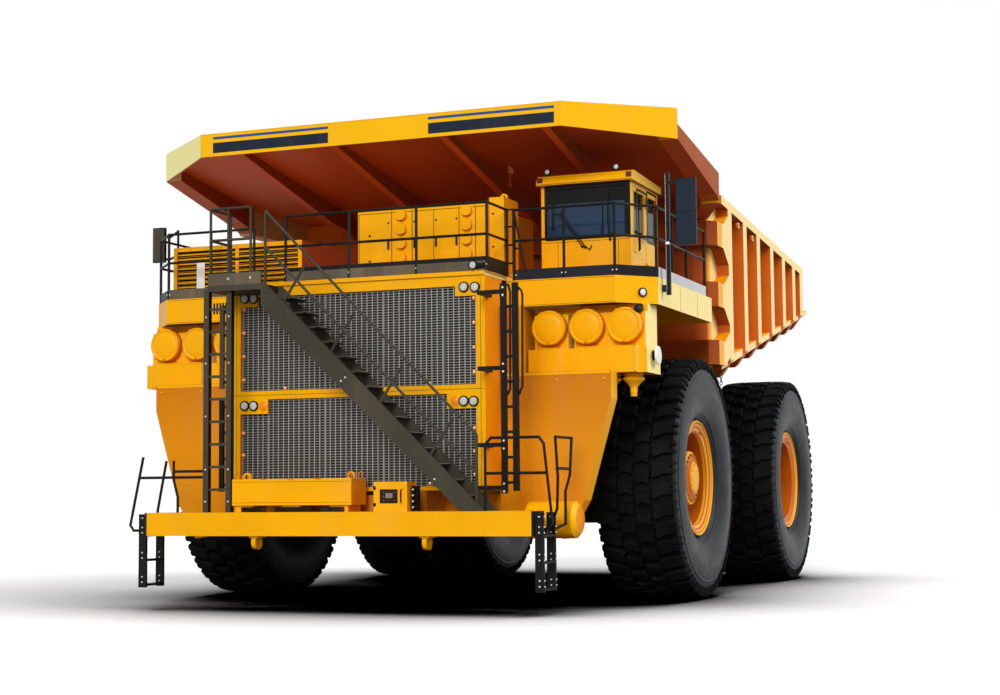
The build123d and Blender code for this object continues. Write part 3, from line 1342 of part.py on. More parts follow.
def cab_shell():
    """Hollow cab with window openings and the doorway in its outer side."""
    x, y = CAB_X, CAB_Y
    shell = block(x, y, (CAB_LOW, CAB_TOP))
    inside_x = (x[0] + CAB_WALL, x[1] - CAB_WALL)
    inside_y = (y[0] + CAB_WALL, y[1] - CAB_WALL)
    shell -= block(inside_x, inside_y, (CAB_LOW + 60, CAB_TOP + 1))
    through = 200
    shell -= block((x[0] + 90, x[1] - 90), (y[0] - 1, y[0] + through), (SILL_Z, LINTEL_Z))
    shell -= block((x[0] + 150, x[1] - 150), (y[1] - through, y[1] + 1), (SILL_Z, LINTEL_Z - 60))
    shell -= block((x[0] - 1, x[0] + through), (y[0] + 110, y[1] - 150), (SILL_Z, LINTEL_Z - 60))
    shell -= block((x[1] - through, x[1] + 1), DOOR_Y, (DOOR_LOW, LINTEL_Z))
    shell -= block((x[1] - through, x[1] + 1), (DOOR_Y[1] + 120, y[1] - 90), (SILL_Z, LINTEL_Z - 60))
    hinges = []
    for z in HINGE_HEIGHTS:
        for low in (z - HINGE_LENGTH, z + HINGE_LENGTH + RUNNING_GAP):
            strap_z = (low, low + HINGE_LENGTH - RUNNING_GAP)
            hinges.append(tube((HINGE_X, HINGE_Y, strap_z[0]), (HINGE_X, HINGE_Y, strap_z[1]), HINGE_RADIUS))
            hinges.append(block((x[1] - 5, HINGE_X + 8), (HINGE_Y + 6, HINGE_Y + 60), strap_z))
        pin_top = (HINGE_X, HINGE_Y, z + HINGE_LENGTH + 20)
        hinges.append(tube((HINGE_X, HINGE_Y, z - 20), pin_top, HINGE_PIN_RADIUS))
    return fuse(shell, hinges)


def cab_roof():
    """Roof panel with a visor lip over the windscreen."""
    x = (CAB_X[0] - 50, CAB_X[1] + 60)
    profile = [
        (CAB_Y[0] - 90, CAB_TOP + SEAT_GAP),
        (CAB_Y[1] + 30, CAB_TOP + SEAT_GAP),
        (CAB_Y[1] + 30, CAB_TOP + 110),
        (CAB_Y[0], CAB_TOP + 160),
        (CAB_Y[0] - 90, CAB_TOP + 60),
    ]
    return side_plate(profile, x)


GLASS = 12


def cab_windows():
    """Fixed panes set inside their openings."""
    x, y = CAB_X, CAB_Y
    gap = SEAT_GAP
    z = (SILL_Z + gap, LINTEL_Z - 60 - gap)
    front = block((x[0] + 90 + gap, x[1] - 90 - gap), (y[0] + 20, y[0] + 20 + GLASS), (z[0], LINTEL_Z - gap))
    back = block((x[0] + 150 + gap, x[1] - 150 - gap), (y[1] - 20 - GLASS, y[1] - 20), z)
    inner = block((x[0] + 20, x[0] + 20 + GLASS), (y[0] + 110 + gap, y[1] - 150 - gap), z)
    quarter = block((x[1] - 20 - GLASS, x[1] - 20), (DOOR_Y[1] + 120 + gap, y[1] - 90 - gap), z)
    return fuse(front, back, inner, quarter)


DOOR_GAP = 8


def cab_door():
    """Door with a window opening and its pull bar, hinged at the rear edge."""
    y = (DOOR_Y[0] + DOOR_GAP, DOOR_Y[1] - DOOR_GAP)
    x = (CAB_X[1] - 45, CAB_X[1])
    z = (DOOR_LOW + DOOR_GAP, LINTEL_Z - DOOR_GAP)
    leaf = block(x, y, z)
    leaf -= block((x[0] - 1, x[1] + 1), (y[0] + 70, y[1] - 70), (SILL_Z, z[1] - 70))
    handle = fuse(
        block((x[1] - 5, x[1] + 45), (y[0] + 30, y[0] + 55), (5380, 5410)),
        block((x[1] - 5, x[1] + 45), (y[0] + 30, y[0] + 55), (5560, 5590)),
        block((x[1] + 30, x[1] + 50), (y[0] + 30, y[0] + 55), (5380, 5590)),
    )
    hinges = []
    for low in HINGE_HEIGHTS:
        hinges.append(tube((HINGE_X, HINGE_Y, low), (HINGE_X, HINGE_Y, low + HINGE_LENGTH), HINGE_RADIUS))
        hinges.append(block((x[1] - 5, HINGE_X + 8), (HINGE_Y - 60, HINGE_Y - 6), (low, low + HINGE_LENGTH)))
    door = fuse(leaf, handle, hinges)
    return door - tube((HINGE_X, HINGE_Y, z[0]), (HINGE_X, HINGE_Y, z[1]), HINGE_PIN_RADIUS + RUNNING_GAP / 4)


def door_glass():
    y = (DOOR_Y[0] + DOOR_GAP + 70 + SEAT_GAP, DOOR_Y[1] - DOOR_GAP - 70 - SEAT_GAP)
    x = (CAB_X[1] - 30, CAB_X[1] - 30 + GLASS)
    return block(x, y, (SILL_Z + SEAT_GAP, LINTEL_Z - DOOR_GAP - 70 - SEAT_GAP))


def cab_seat():
    x, y = CAB_SEAT_X, aft(-1250)
    floor_z = CAB_LOW + 60 + SEAT_GAP
    base = block((x - 180, x + 180), (y - 180, y + 180), (floor_z, floor_z + 300))
    cushion = block((x - 260, x + 260), (y - 270, y + 260), (floor_z + 290, floor_z + 420))
    back = side_plate([
        (y + 150, floor_z + 400),
        (y + 280, floor_z + 400),
        (y + 380, floor_z + 1080),
        (y + 290, floor_z + 1080),
    ], (x - 250, x + 250))
    return fuse(base, cushion, back)


def cab_console():
    """Dash under the windscreen with the steering column and wheel."""
    floor_z = CAB_LOW + 60 + SEAT_GAP
    y0 = CAB_Y[0] + CAB_WALL + SEAT_GAP
    dash = side_plate([
        (y0, floor_z),
        (y0 + 160, floor_z),
        (y0 + 330, 5440),
        (y0 + 300, 5560),
        (y0, 5600),
    ], (CAB_X[0] + CAB_WALL + SEAT_GAP, CAB_X[1] - CAB_WALL - 40))
    hub = (CAB_SEAT_X, y0 + 480, 5650)
    column = tube((CAB_SEAT_X, y0 + 200, 5450), hub, 35)
    seat = Plane(origin=hub, z_dir=(0, 280, 200))
    grip = [(18 * sin(i * pi / 3), 190 - 18 * cos(i * pi / 3)) for i in range(6)]
    wheel = seat * Rot(Y=90) * faceted(grip, 20)
    spokes = [seat * Box(370, 30, 20), seat * Box(30, 370, 20)]
    return fuse(dash, column, wheel, spokes)


def electrical_cabinet():
    """Control cabinet with two columns of round vents, grooves between its doors and a taller side bay."""
    x, y = (-300, 1860), (aft(-3200), aft(-1200))
    low = RADIATOR_TOP + DECK_PLATE + SEAT_GAP
    body = block(x, y, (low, 6080))
    for split in (275, 620, 1400, 1670):
        body -= block((split - 6, split + 6), (y[0] - 1, y[0] + 15), (low - 1, 6081))
    vents = []
    for column in (445, 1535):
        for i in range(5):
            z = low + 150 + i * 220
            vents.append(Pos(column, y[0] - 25, z) * Rot(X=90) * Cylinder(85, 70))
    side = block((1855, 2095), (aft(-3100), aft(-2500)), (low, 6180))
    eye = Pos(1985, aft(-2800), 6215) * Rot(X=90) * (Cylinder(60, 30) - Cylinder(30, 40))
    return fuse(body, vents, side, eye)


GRID_X = (426 - DECK_HALF_WIDTH, -1520)
GRID_Y = (aft(-2750), aft(-750))
GRID_TOP = 5790


def grid_box():
    """Retarder grid box: open-fronted case with slanted slats."""
    low = RADIATOR_TOP + DECK_PLATE + SEAT_GAP
    case = block(GRID_X, GRID_Y, (low, GRID_TOP))
    mouth_x = (GRID_X[0] + 70, GRID_X[1] - 70)
    case -= block(mouth_x, (GRID_Y[0] - 1, GRID_Y[0] + 500), (low + 70, GRID_TOP - 70))
    count = 9
    pitch = (GRID_TOP - low - 140) / count
    slats = []
    for i in range(count):
        z = low + 70 + (i + 0.5) * pitch
        outline = [
            (GRID_Y[0] + 15, z - 25),
            (GRID_Y[0] + 115, z + 20),
            (GRID_Y[0] + 115, z + 32),
            (GRID_Y[0] + 15, z - 13),
        ]
        slats.append(side_plate(outline, (GRID_X[0] + 60, GRID_X[1] - 60)))
    middle = (GRID_X[0] + GRID_X[1]) / 2
    mullion = block((middle - 30, middle + 30), (GRID_Y[0] + 10, GRID_Y[0] + 120), (low + 60, GRID_TOP - 60))
    feet = block((GRID_X[0], -CENTRE_HALF_WIDTH - 20), GRID_Y, (DECK_TOP + SEAT_GAP, low + 10))
    return fuse(case, slats, mullion, feet)


def bumper_box():
    """Long battery box on feet, on the bumper's deck."""
    x, y = (-1735, 240), (aft(-4550), aft(-4060))
    box = block(x, y, (1560, 1950))
    feet = [
        block((fx - 150, fx + 150), (y[0] + 40, y[1] - 40), (BUMPER_TOP + SEAT_GAP, 1565))
        for fx in (-1550, -765, 20)
    ]
    eyes = [
        Pos(ex, (y[0] + y[1]) / 2, 1985) * Rot(X=90) * (Cylinder(65, 30) - Cylinder(38, 40))
        for ex in (x[0] + 120, x[1] - 120)
    ]
    return fuse(box, feet, eyes)


def control_box():
    """Small box with a recessed window and a pull handle beside the battery box."""
    x, y = (600, 1130), (aft(-4550), aft(-4250))
    box = block(x, y, (BUMPER_TOP + SEAT_GAP, 1890))
    box -= block((x[0] + 120, x[1] - 170), (y[0] - 1, y[0] + 20), (1600, 1760))
    pull = block((x[1] - 110, x[1] - 85), (y[0] - 30, y[0] + 5), (1580, 1780))
    return fuse(box, pull)


TANK_CORNER = 180


def side_tanks():
    """Fuel tank on the left rail and oil tank on the right, behind the front tyres."""
    y, z = (aft(2420), aft(3280)), (1750, 3050)
    tanks = []
    for side, width in ((1, 1150), (-1, 1050)):
        x = sorted((side * (RAIL_X[1] + SEAT_GAP), side * (RAIL_X[1] + width)))
        tanks.append(fillet(block(x, y, z).edges().filter_by(Axis.Y), TANK_CORNER))
    return tanks


def air_tank():
    """Air tank lying across behind the bumper's left end, with a domed end."""
    radius = 265
    y, z = UPRIGHT_Y[0] - SEAT_GAP - radius, 1320
    profile = [(2620, 0), (2620, radius - 60), (2670, radius), (3370, radius), (3430, radius - 70), (3450, 0)]
    return turned(profile, 0, y, z)


LAMP_RADIUS = 63
RADIATOR_LAMPS = (
    (1774, 4731),
    (1948, 4722),
    (-1887, 4732),
    (-1729, 4725),
    (-1880, 3079),
    (-1723, 3075),
    (-1567, 3071),
    (1619, 3061),
    (1761, 3057),
    (1919, 3052),
)
LAMP_DEPTH = 28
ROOF_LAMP_X = (CAB_X[0] + 170, CAB_X[1] - 100)
SKIRT_LAMP = (DECK_CORNER_X - 125, 4690)


def lamps():
    """Round lamps on the radiator's plates, the walkway, the deck's skirt and the cab roof."""
    made = []
    for x, z in RADIATOR_LAMPS:
        face = RADIATOR_FRONT_Y - SEAT_GAP
        made.append(tube((x, face - LAMP_DEPTH + SEAT_GAP, z), (x, face, z), LAMP_RADIUS))
    walkway_y = RADIATOR_FRONT_Y - 12 - SEAT_GAP
    made.append(tube((1936, walkway_y - 70, 5040), (1936, walkway_y, 5040), LAMP_RADIUS))
    skirt_x, skirt_z = SKIRT_LAMP
    skirt_y = DECK_FRONT_Y - SEAT_GAP
    made.append(tube((skirt_x, skirt_y - 50, skirt_z), (skirt_x, skirt_y, skirt_z), LAMP_RADIUS))
    roof_z = CAB_TOP + 30
    roof_y = CAB_Y[0] - 90 - SEAT_GAP
    for x in ROOF_LAMP_X:
        made.append(block((x - 60, x + 60), (roof_y - 90, roof_y), (roof_z - 50, roof_z + 50)))
    return fuse(made)


def make_fittings():
    nodes["bumper"] = bumper()
    nodes["bumper_boxes"] = fuse(bumper_box(), control_box())
    ladder = boarding_ladder()
    nodes["boarding_ladders"] = fuse(ladder, left_loops(), mirrored(ladder), right_loops())
    nodes["decks"] = fuse(centre_deck(), side_deck(), mirrored(side_deck()))
    nodes["deck_rails"] = fuse(centre_rail(), side_rail(), mirrored(side_rail()))
    nodes["stair"] = fuse(stair(), stair_rail(), landing())
    nodes["pipe_frame"] = pipe_frame()
    add_both("front_uprights", upright())
    add_both("air_cleaners", air_cleaners())
    nodes["mirrors"] = fuse(left_mirror(), right_mirror())
    nodes["cabinets"] = electrical_cabinet()
    nodes["lamps"] = lamps()
    nodes["grid_box"] = grid_box()
    nodes["tanks"] = fuse(side_tanks(), air_tank())


def make_cab():
    nodes["cab_shell"] = cab_shell()
    nodes["cab_roof"] = cab_roof()
    nodes["cab_windows"] = cab_windows()
    nodes["cab_door"] = cab_door()
    nodes["door_glass"] = door_glass()
    nodes["cab_interior"] = fuse(cab_seat(), cab_console())


for section in (make_wheels, make_steering, make_chassis, make_body, make_fittings, make_cab):
    section()

os.makedirs("parts", exist_ok=True)
for node_name, solid in nodes.items():
    export_step(solid, "parts/" + node_name + ".step")
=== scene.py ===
import math

import bmesh
import bpy
from mathutils import Matrix, Vector


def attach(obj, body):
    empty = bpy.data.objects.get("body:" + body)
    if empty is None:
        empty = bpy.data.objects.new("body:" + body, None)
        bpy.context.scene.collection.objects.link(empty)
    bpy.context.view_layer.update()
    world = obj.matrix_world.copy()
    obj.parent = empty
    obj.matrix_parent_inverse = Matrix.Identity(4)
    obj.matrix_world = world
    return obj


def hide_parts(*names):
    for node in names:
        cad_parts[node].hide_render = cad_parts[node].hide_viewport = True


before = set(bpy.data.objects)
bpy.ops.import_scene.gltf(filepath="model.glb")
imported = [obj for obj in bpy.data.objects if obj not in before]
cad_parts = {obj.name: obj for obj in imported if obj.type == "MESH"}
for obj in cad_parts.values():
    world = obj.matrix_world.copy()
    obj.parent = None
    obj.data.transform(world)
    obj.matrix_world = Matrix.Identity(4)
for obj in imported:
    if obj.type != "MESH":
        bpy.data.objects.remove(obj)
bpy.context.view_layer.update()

# The truck stands on z = 0, faces -Y, and its left (cab) side is +X. Lengths are metres.
FRONT_AXLE_Y = -2.305
REAR_AXLE_Y = 4.22
AXLE_Z = 1.93
FRONT_TYRE_X = 3.7
REAR_TYRE_X = (3.75, 2.22)
AHEAD, BACK, UP, DOWN, LEFT = (0, -1, 0), (0, 1, 0), (0, 0, 1), (0, 0, -1), (1, 0, 0)
SIDES = (1, -1)
SIDE_NAMES = ((1, "left"), (-1, "right"))


def around(count, radius, start=0):
    """Points on a circle: radius times the cosine and sine of equal steps."""
    turns = [2 * math.pi * (i + start) / count for i in range(count)]
    return [(radius * math.cos(turn), radius * math.sin(turn)) for turn in turns]


def row(xs, y, zs):
    """Places that share one Y: each x with each z."""
    return [(x, y, z) for x in xs for z in zs]


class Kit:
    """Collects simple shapes into one mesh."""

    def __init__(self):
        self.verts = []
        self.faces = []

    def add(self, verts, faces):
        first = len(self.verts)
        self.verts += [tuple(v) for v in verts]
        self.faces += [[i + first for i in face] for face in faces]

    def box(self, low, high):
        """Box between two opposite corners, given in either order."""
        (x0, x1), (y0, y1), (z0, z1) = (sorted(pair) for pair in zip(low, high))
        verts = [(x, y, z) for z in (z0, z1) for x, y in ((x0, y0), (x1, y0), (x1, y1), (x0, y1))]
        self.add(verts, [(3, 2, 1, 0), (4, 5, 6, 7), (0, 1, 5, 4), (1, 2, 6, 5), (2, 3, 7, 6), (3, 0, 4, 7)])

    def slabs(self, y0, y1, rects):
        """Flat boxes between two Y planes, from rects of (x0, z0, x1, z1)."""
        for x0, z0, x1, z1 in rects:
            self.box((x0, y0, z0), (x1, y1, z1))

    def skin(self, rings, closed=False):
        """Faces between rings of points, with end caps unless the last ring meets the first."""
        count, sides = len(rings), len(rings[0])
        faces = []
        for ring in range(count if closed else count - 1):
            a, b = ring * sides, (ring + 1) % count * sides
            for i in range(sides):
                j = (i + 1) % sides
                faces.append((a + i, a + j, b + j, b + i))
        if not closed:
            faces += [tuple(reversed(range(sides))), tuple(range((count - 1) * sides, count * sides))]
        self.add([v for ring in rings for v in ring], faces)

    def plate(self, corners, thickness):
        """Flat plate from corners in order, thickened along the normal by the right-hand rule."""
        points = [Vector(c) for c in corners]
        normal = (points[1] - points[0]).cross(points[2] - points[1]).normalized() * thickness
        self.skin([points, [p + normal for p in points]])

    def turned(self, profile, origin, axis, sides=32, closed=False):
        """Surface of revolution: profile is (distance along axis, radius) points."""
        axis = Vector(axis).normalized()
        across = axis.orthogonal().normalized()
        other = axis.cross(across)
        rays = [across * c + other * s for c, s in around(sides, 1)]
        self.skin([[Vector(origin) + axis * along + ray * radius for ray in rays]
                   for along, radius in profile], closed)

    def rod(self, start, end, radius, sides=12):
        length = (Vector(end) - Vector(start)).length
        self.turned([(0, radius), (length, radius)], start, Vector(end) - Vector(start), sides)

    def tube(self, points, radius, sides=10):
        """Round tube along points, mitred at each bend."""
        points = [Vector(p) for p in points]
        rings = []
        side = None
        for i, point in enumerate(points):
            before = (point - points[i - 1]).normalized() if i else None
            after = (points[i + 1] - point).normalized() if i < len(points) - 1 else None
            run = ((before or after) + (after or before)).normalized()
            side = run.orthogonal() if side is None else side - run * side.dot(run)
            side.normalize()
            up = run.cross(side)
            wide = radius / max(0.5, run.dot(after)) if before and after else radius
            rings.append([point + (side * c + up * s) * wide for c, s in around(sides, 1)])
        self.skin(rings)

    def bolt(self, at, out, size=0.03, height=None):
        """Hexagon head on a washer."""
        height = height or size * 0.6
        self.turned([(0, size * 0.62), (height * 0.2, size * 0.62)], at, out, 16)
        self.turned([(0, size * 0.5), (height * 0.85, size * 0.5), (height, size * 0.4)], at, out, 6)

    def bolts(self, places, size, out=AHEAD):
        for at in places:
            self.bolt(at, out, size)

    def piece(self, name, finish, slot="chassis_paint", body="chassis", bevel=0, smooth=35):
        """Makes the object: finish is a name in MATERIALS, bevel a width, smooth an angle in degrees."""
        mesh = bpy.data.meshes.new(name)
        mesh.from_pydata(self.verts, [], self.faces)
        mesh.validate()
        shell = bmesh.new()
        shell.from_mesh(mesh)
        bmesh.ops.recalc_face_normals(shell, faces=shell.faces)
        shell.to_mesh(mesh)
        shell.free()
        mesh.materials.append(MATERIALS[finish])
        obj = bpy.data.objects.new(name, mesh)
        bpy.context.scene.collection.objects.link(obj)
        mesh.shade_smooth()
        mesh.set_sharp_from_angle(angle=math.radians(smooth))
        if bevel:
            cut = obj.modifiers.new("edges", "BEVEL")
            cut.width = bevel
            cut.segments = 2
            cut.limit_method = "ANGLE"
            cut.angle_limit = math.radians(smooth)
        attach(obj, body)
        return obj


def kits(count):
    return [Kit() for _ in range(count)]


# Materials
def srgb(red, green, blue):
    """Linear colour from 8-bit values as seen on screen."""
    def linear(value):
        value /= 255
        return value / 12.92 if value <= 0.04045 else ((value + 0.055) / 1.055) ** 2.4
    return (linear(red), linear(green), linear(blue), 1)


def shade(color, factor):
    return (color[0] * factor, color[1] * factor, color[2] * factor, 1)


BLACK = (0, 0, 0, 1)
WHITE = (1, 1, 1, 1)


class Material:
    """A Principled material whose nodes are added by short calls."""

    def __init__(self, name, roughness=0.4, metallic=0):
        self.mat = bpy.data.materials.new(name)
        self.mat.use_nodes = True
        self.tree = self.mat.node_tree
        self.shader = self.tree.nodes["Principled BSDF"]
        self.coords = self.node("TexCoord")
        self.height = None
        self.set(Roughness=roughness, Metallic=metallic)

    def feed(self, socket, value):
        """Links another node's output to the socket, or sets the socket's own value."""
        if isinstance(value, bpy.types.NodeSocket):
            self.tree.links.new(value, socket)
        else:
            socket.default_value = value

    def set(self, **inputs):
        for name, value in inputs.items():
            self.feed(self.shader.inputs[name.replace("_", " ")], value)

    def node(self, kind, **inputs):
        node = self.tree.nodes.new("ShaderNode" + kind)
        for name, value in inputs.items():
            self.feed(node.inputs[name.replace("_", " ")], value)
        return node

    def axis(self, space, axis):
        """X, Y or Z of the Object or Normal coordinate."""
        return self.node("SeparateXYZ", Vector=self.coords.outputs[space]).outputs[axis]

    def noise(self, scale, detail=4, rough=0.55, stretch=None):
        source = self.coords.outputs["Object"]
        if stretch:
            source = self.node("Mapping", Vector=source, Scale=stretch).outputs["Vector"]
        return self.node("TexNoise", Vector=source, Scale=scale, Detail=detail, Roughness=rough).outputs["Fac"]

    def ramp(self, factor, stops):
        """Colour ramp between two stops of (place, colour)."""
        node = self.node("ValToRGB", Fac=factor)
        for element, (place, color) in zip(node.color_ramp.elements, stops):
            element.position = place
            element.color = color
        return node.outputs["Color"]

    def mix(self, factor, a, b):
        node = self.node("Mix")
        node.data_type = "RGBA"
        for index, value in ((0, factor), (6, a), (7, b)):
            self.feed(node.inputs[index], value)
        return node.outputs[2]

    def math(self, operation, a, b=0):
        node = self.node("Math")
        node.operation = operation
        for socket, value in zip(node.inputs, (a, b)):
            self.feed(socket, value)
        return node.outputs[0]

    def roughness(self, factor, low, high):
        self.set(Roughness=self.node("MapRange", Value=factor, To_Min=low, To_Max=high).outputs["Result"])

    def bump(self, factor, distance, strength):
        node = self.node("Bump", Height=factor, Strength=strength, Distance=distance)
        if self.height:
            self.feed(node.inputs["Normal"], self.height)
        self.height = node.outputs["Normal"]
        self.set(Normal=self.height)


def paint_light_by_facing(m, tone, side, under=None, top=None):
    """Paints light and shade: mixes in other colours where the surface faces sideways, down or up."""
    across = m.math("ABSOLUTE", m.axis("Normal", "X"))
    up = m.axis("Normal", "Z")
    down = m.math("MULTIPLY", up, -1)
    for amount, start, color in ((across, 0.84, side), (down, 0.6, under), (up, 0.5, top)):
        if color is not None:
            tone = m.mix(m.ramp(amount, [(start, BLACK), (0.97, WHITE)]), tone, color)
    return tone


def fade(m, tone, axis, start, end, far):
    """From a colour to another along an axis of the object, for painted light and shade."""
    share = m.node("MapRange", Value=m.axis("Object", axis), From_Min=start, From_Max=end)
    return m.mix(share.outputs["Result"], tone, far)


def paint(name, color, worn=0.12, gloss=0.32, dust=0.12, side=None, under=None, top=None, beyond=None,
          along=None, below=None, bars=None):
    """Sprayed machine paint: slight cloudiness, faint streaks, dust. Kept in MATERIALS, as the other kinds are.

    side, under and top are the painted highlight and painted shade on faces that turn sideways, down or up.
    beyond is (X, colour past that X); along and below are (axis, start, end, colour that it fades to),
    painted light and shade along the object, below for the undersides alone; bars is (half width, places on X,
    colour), a painted highlight on the undersides of ribs.
    """
    m = Material(name, gloss)
    tone = m.ramp(m.noise(0.7, 5), [(0.3, shade(color, 1 - worn)), (0.7, shade(color, 1 + worn * 0.4))])
    if beyond or bars:
        across = m.math("ABSOLUTE", m.axis("Object", "X"))
    if beyond:
        tone = m.mix(m.math("GREATER_THAN", across, beyond[0]), tone, beyond[1])
    if along:
        tone = fade(m, tone, *along)
    if bars:
        half, places, light = bars
        for place in places:
            apart = m.math("ABSOLUTE", m.math("SUBTRACT", across, place))
            under = m.mix(m.math("LESS_THAN", apart, half), under, light)
    if below:
        under = fade(m, under, *below)
    tone = paint_light_by_facing(m, tone, side, under, top)
    streaks = m.noise(2.2, 6, 0.6, (1, 1, 0.12))
    tone = m.mix(m.ramp(streaks, [(0.5, BLACK), (0.78, (dust, dust, dust, 1))]), tone, DUST)
    m.roughness(m.noise(3, 4), gloss - 0.06, gloss + 0.14)
    m.bump(m.noise(60, 2), 0.002, 0.12)
    m.set(Base_Color=tone, Specular_IOR_Level=0.12)
    MATERIALS[name] = m.mat


DUST = srgb(174, 149, 111)
YELLOW = srgb(252, 178, 0)
DEEP_YELLOW = srgb(242, 158, 0)
# Pale cream for the painted highlight on faces that turn sideways.
HIGHLIGHT_CREAM = srgb(254, 232, 150)
MATERIALS = {}


def rubber(name, color, sheen, roughness=0.62, specular=0.05):
    m = Material(name, roughness)
    m.roughness(m.noise(5, 4), roughness - 0.1, roughness + 0.15)
    m.bump(m.noise(90, 3), 0.003, 0.35)
    m.bump(m.noise(7, 4), 0.006, 0.2)
    tone = m.ramp(m.noise(1.6, 6, 0.65), [(0.35, color), (0.75, sheen)])
    m.set(Base_Color=tone, Specular_IOR_Level=specular)
    MATERIALS[name] = m.mat


def steel(name, color, roughness=0.4, metallic=0.6, worn=0.2):
    m = Material(name, roughness, metallic)
    stops = [(0.3, shade(color, 1 - worn)), (0.75, shade(color, 1 + worn))]
    m.set(Base_Color=m.ramp(m.noise(4, 6), stops))
    m.roughness(m.noise(12, 5), roughness - 0.1, roughness + 0.2)
    m.bump(m.noise(80, 2), 0.001, 0.2)
    MATERIALS[name] = m.mat


def glass(name, color, alpha, side=None):
    m = Material(name, 0.04)
    tone = paint_light_by_facing(m, m.ramp(m.noise(0.8, 3), [(0.3, color), (0.8, shade(color, 1.4))]), side)
    m.roughness(m.noise(6, 4), 0.02, 0.09)
    m.set(Base_Color=tone, Alpha=alpha, Specular_IOR_Level=0.25)
    MATERIALS[name] = m.mat


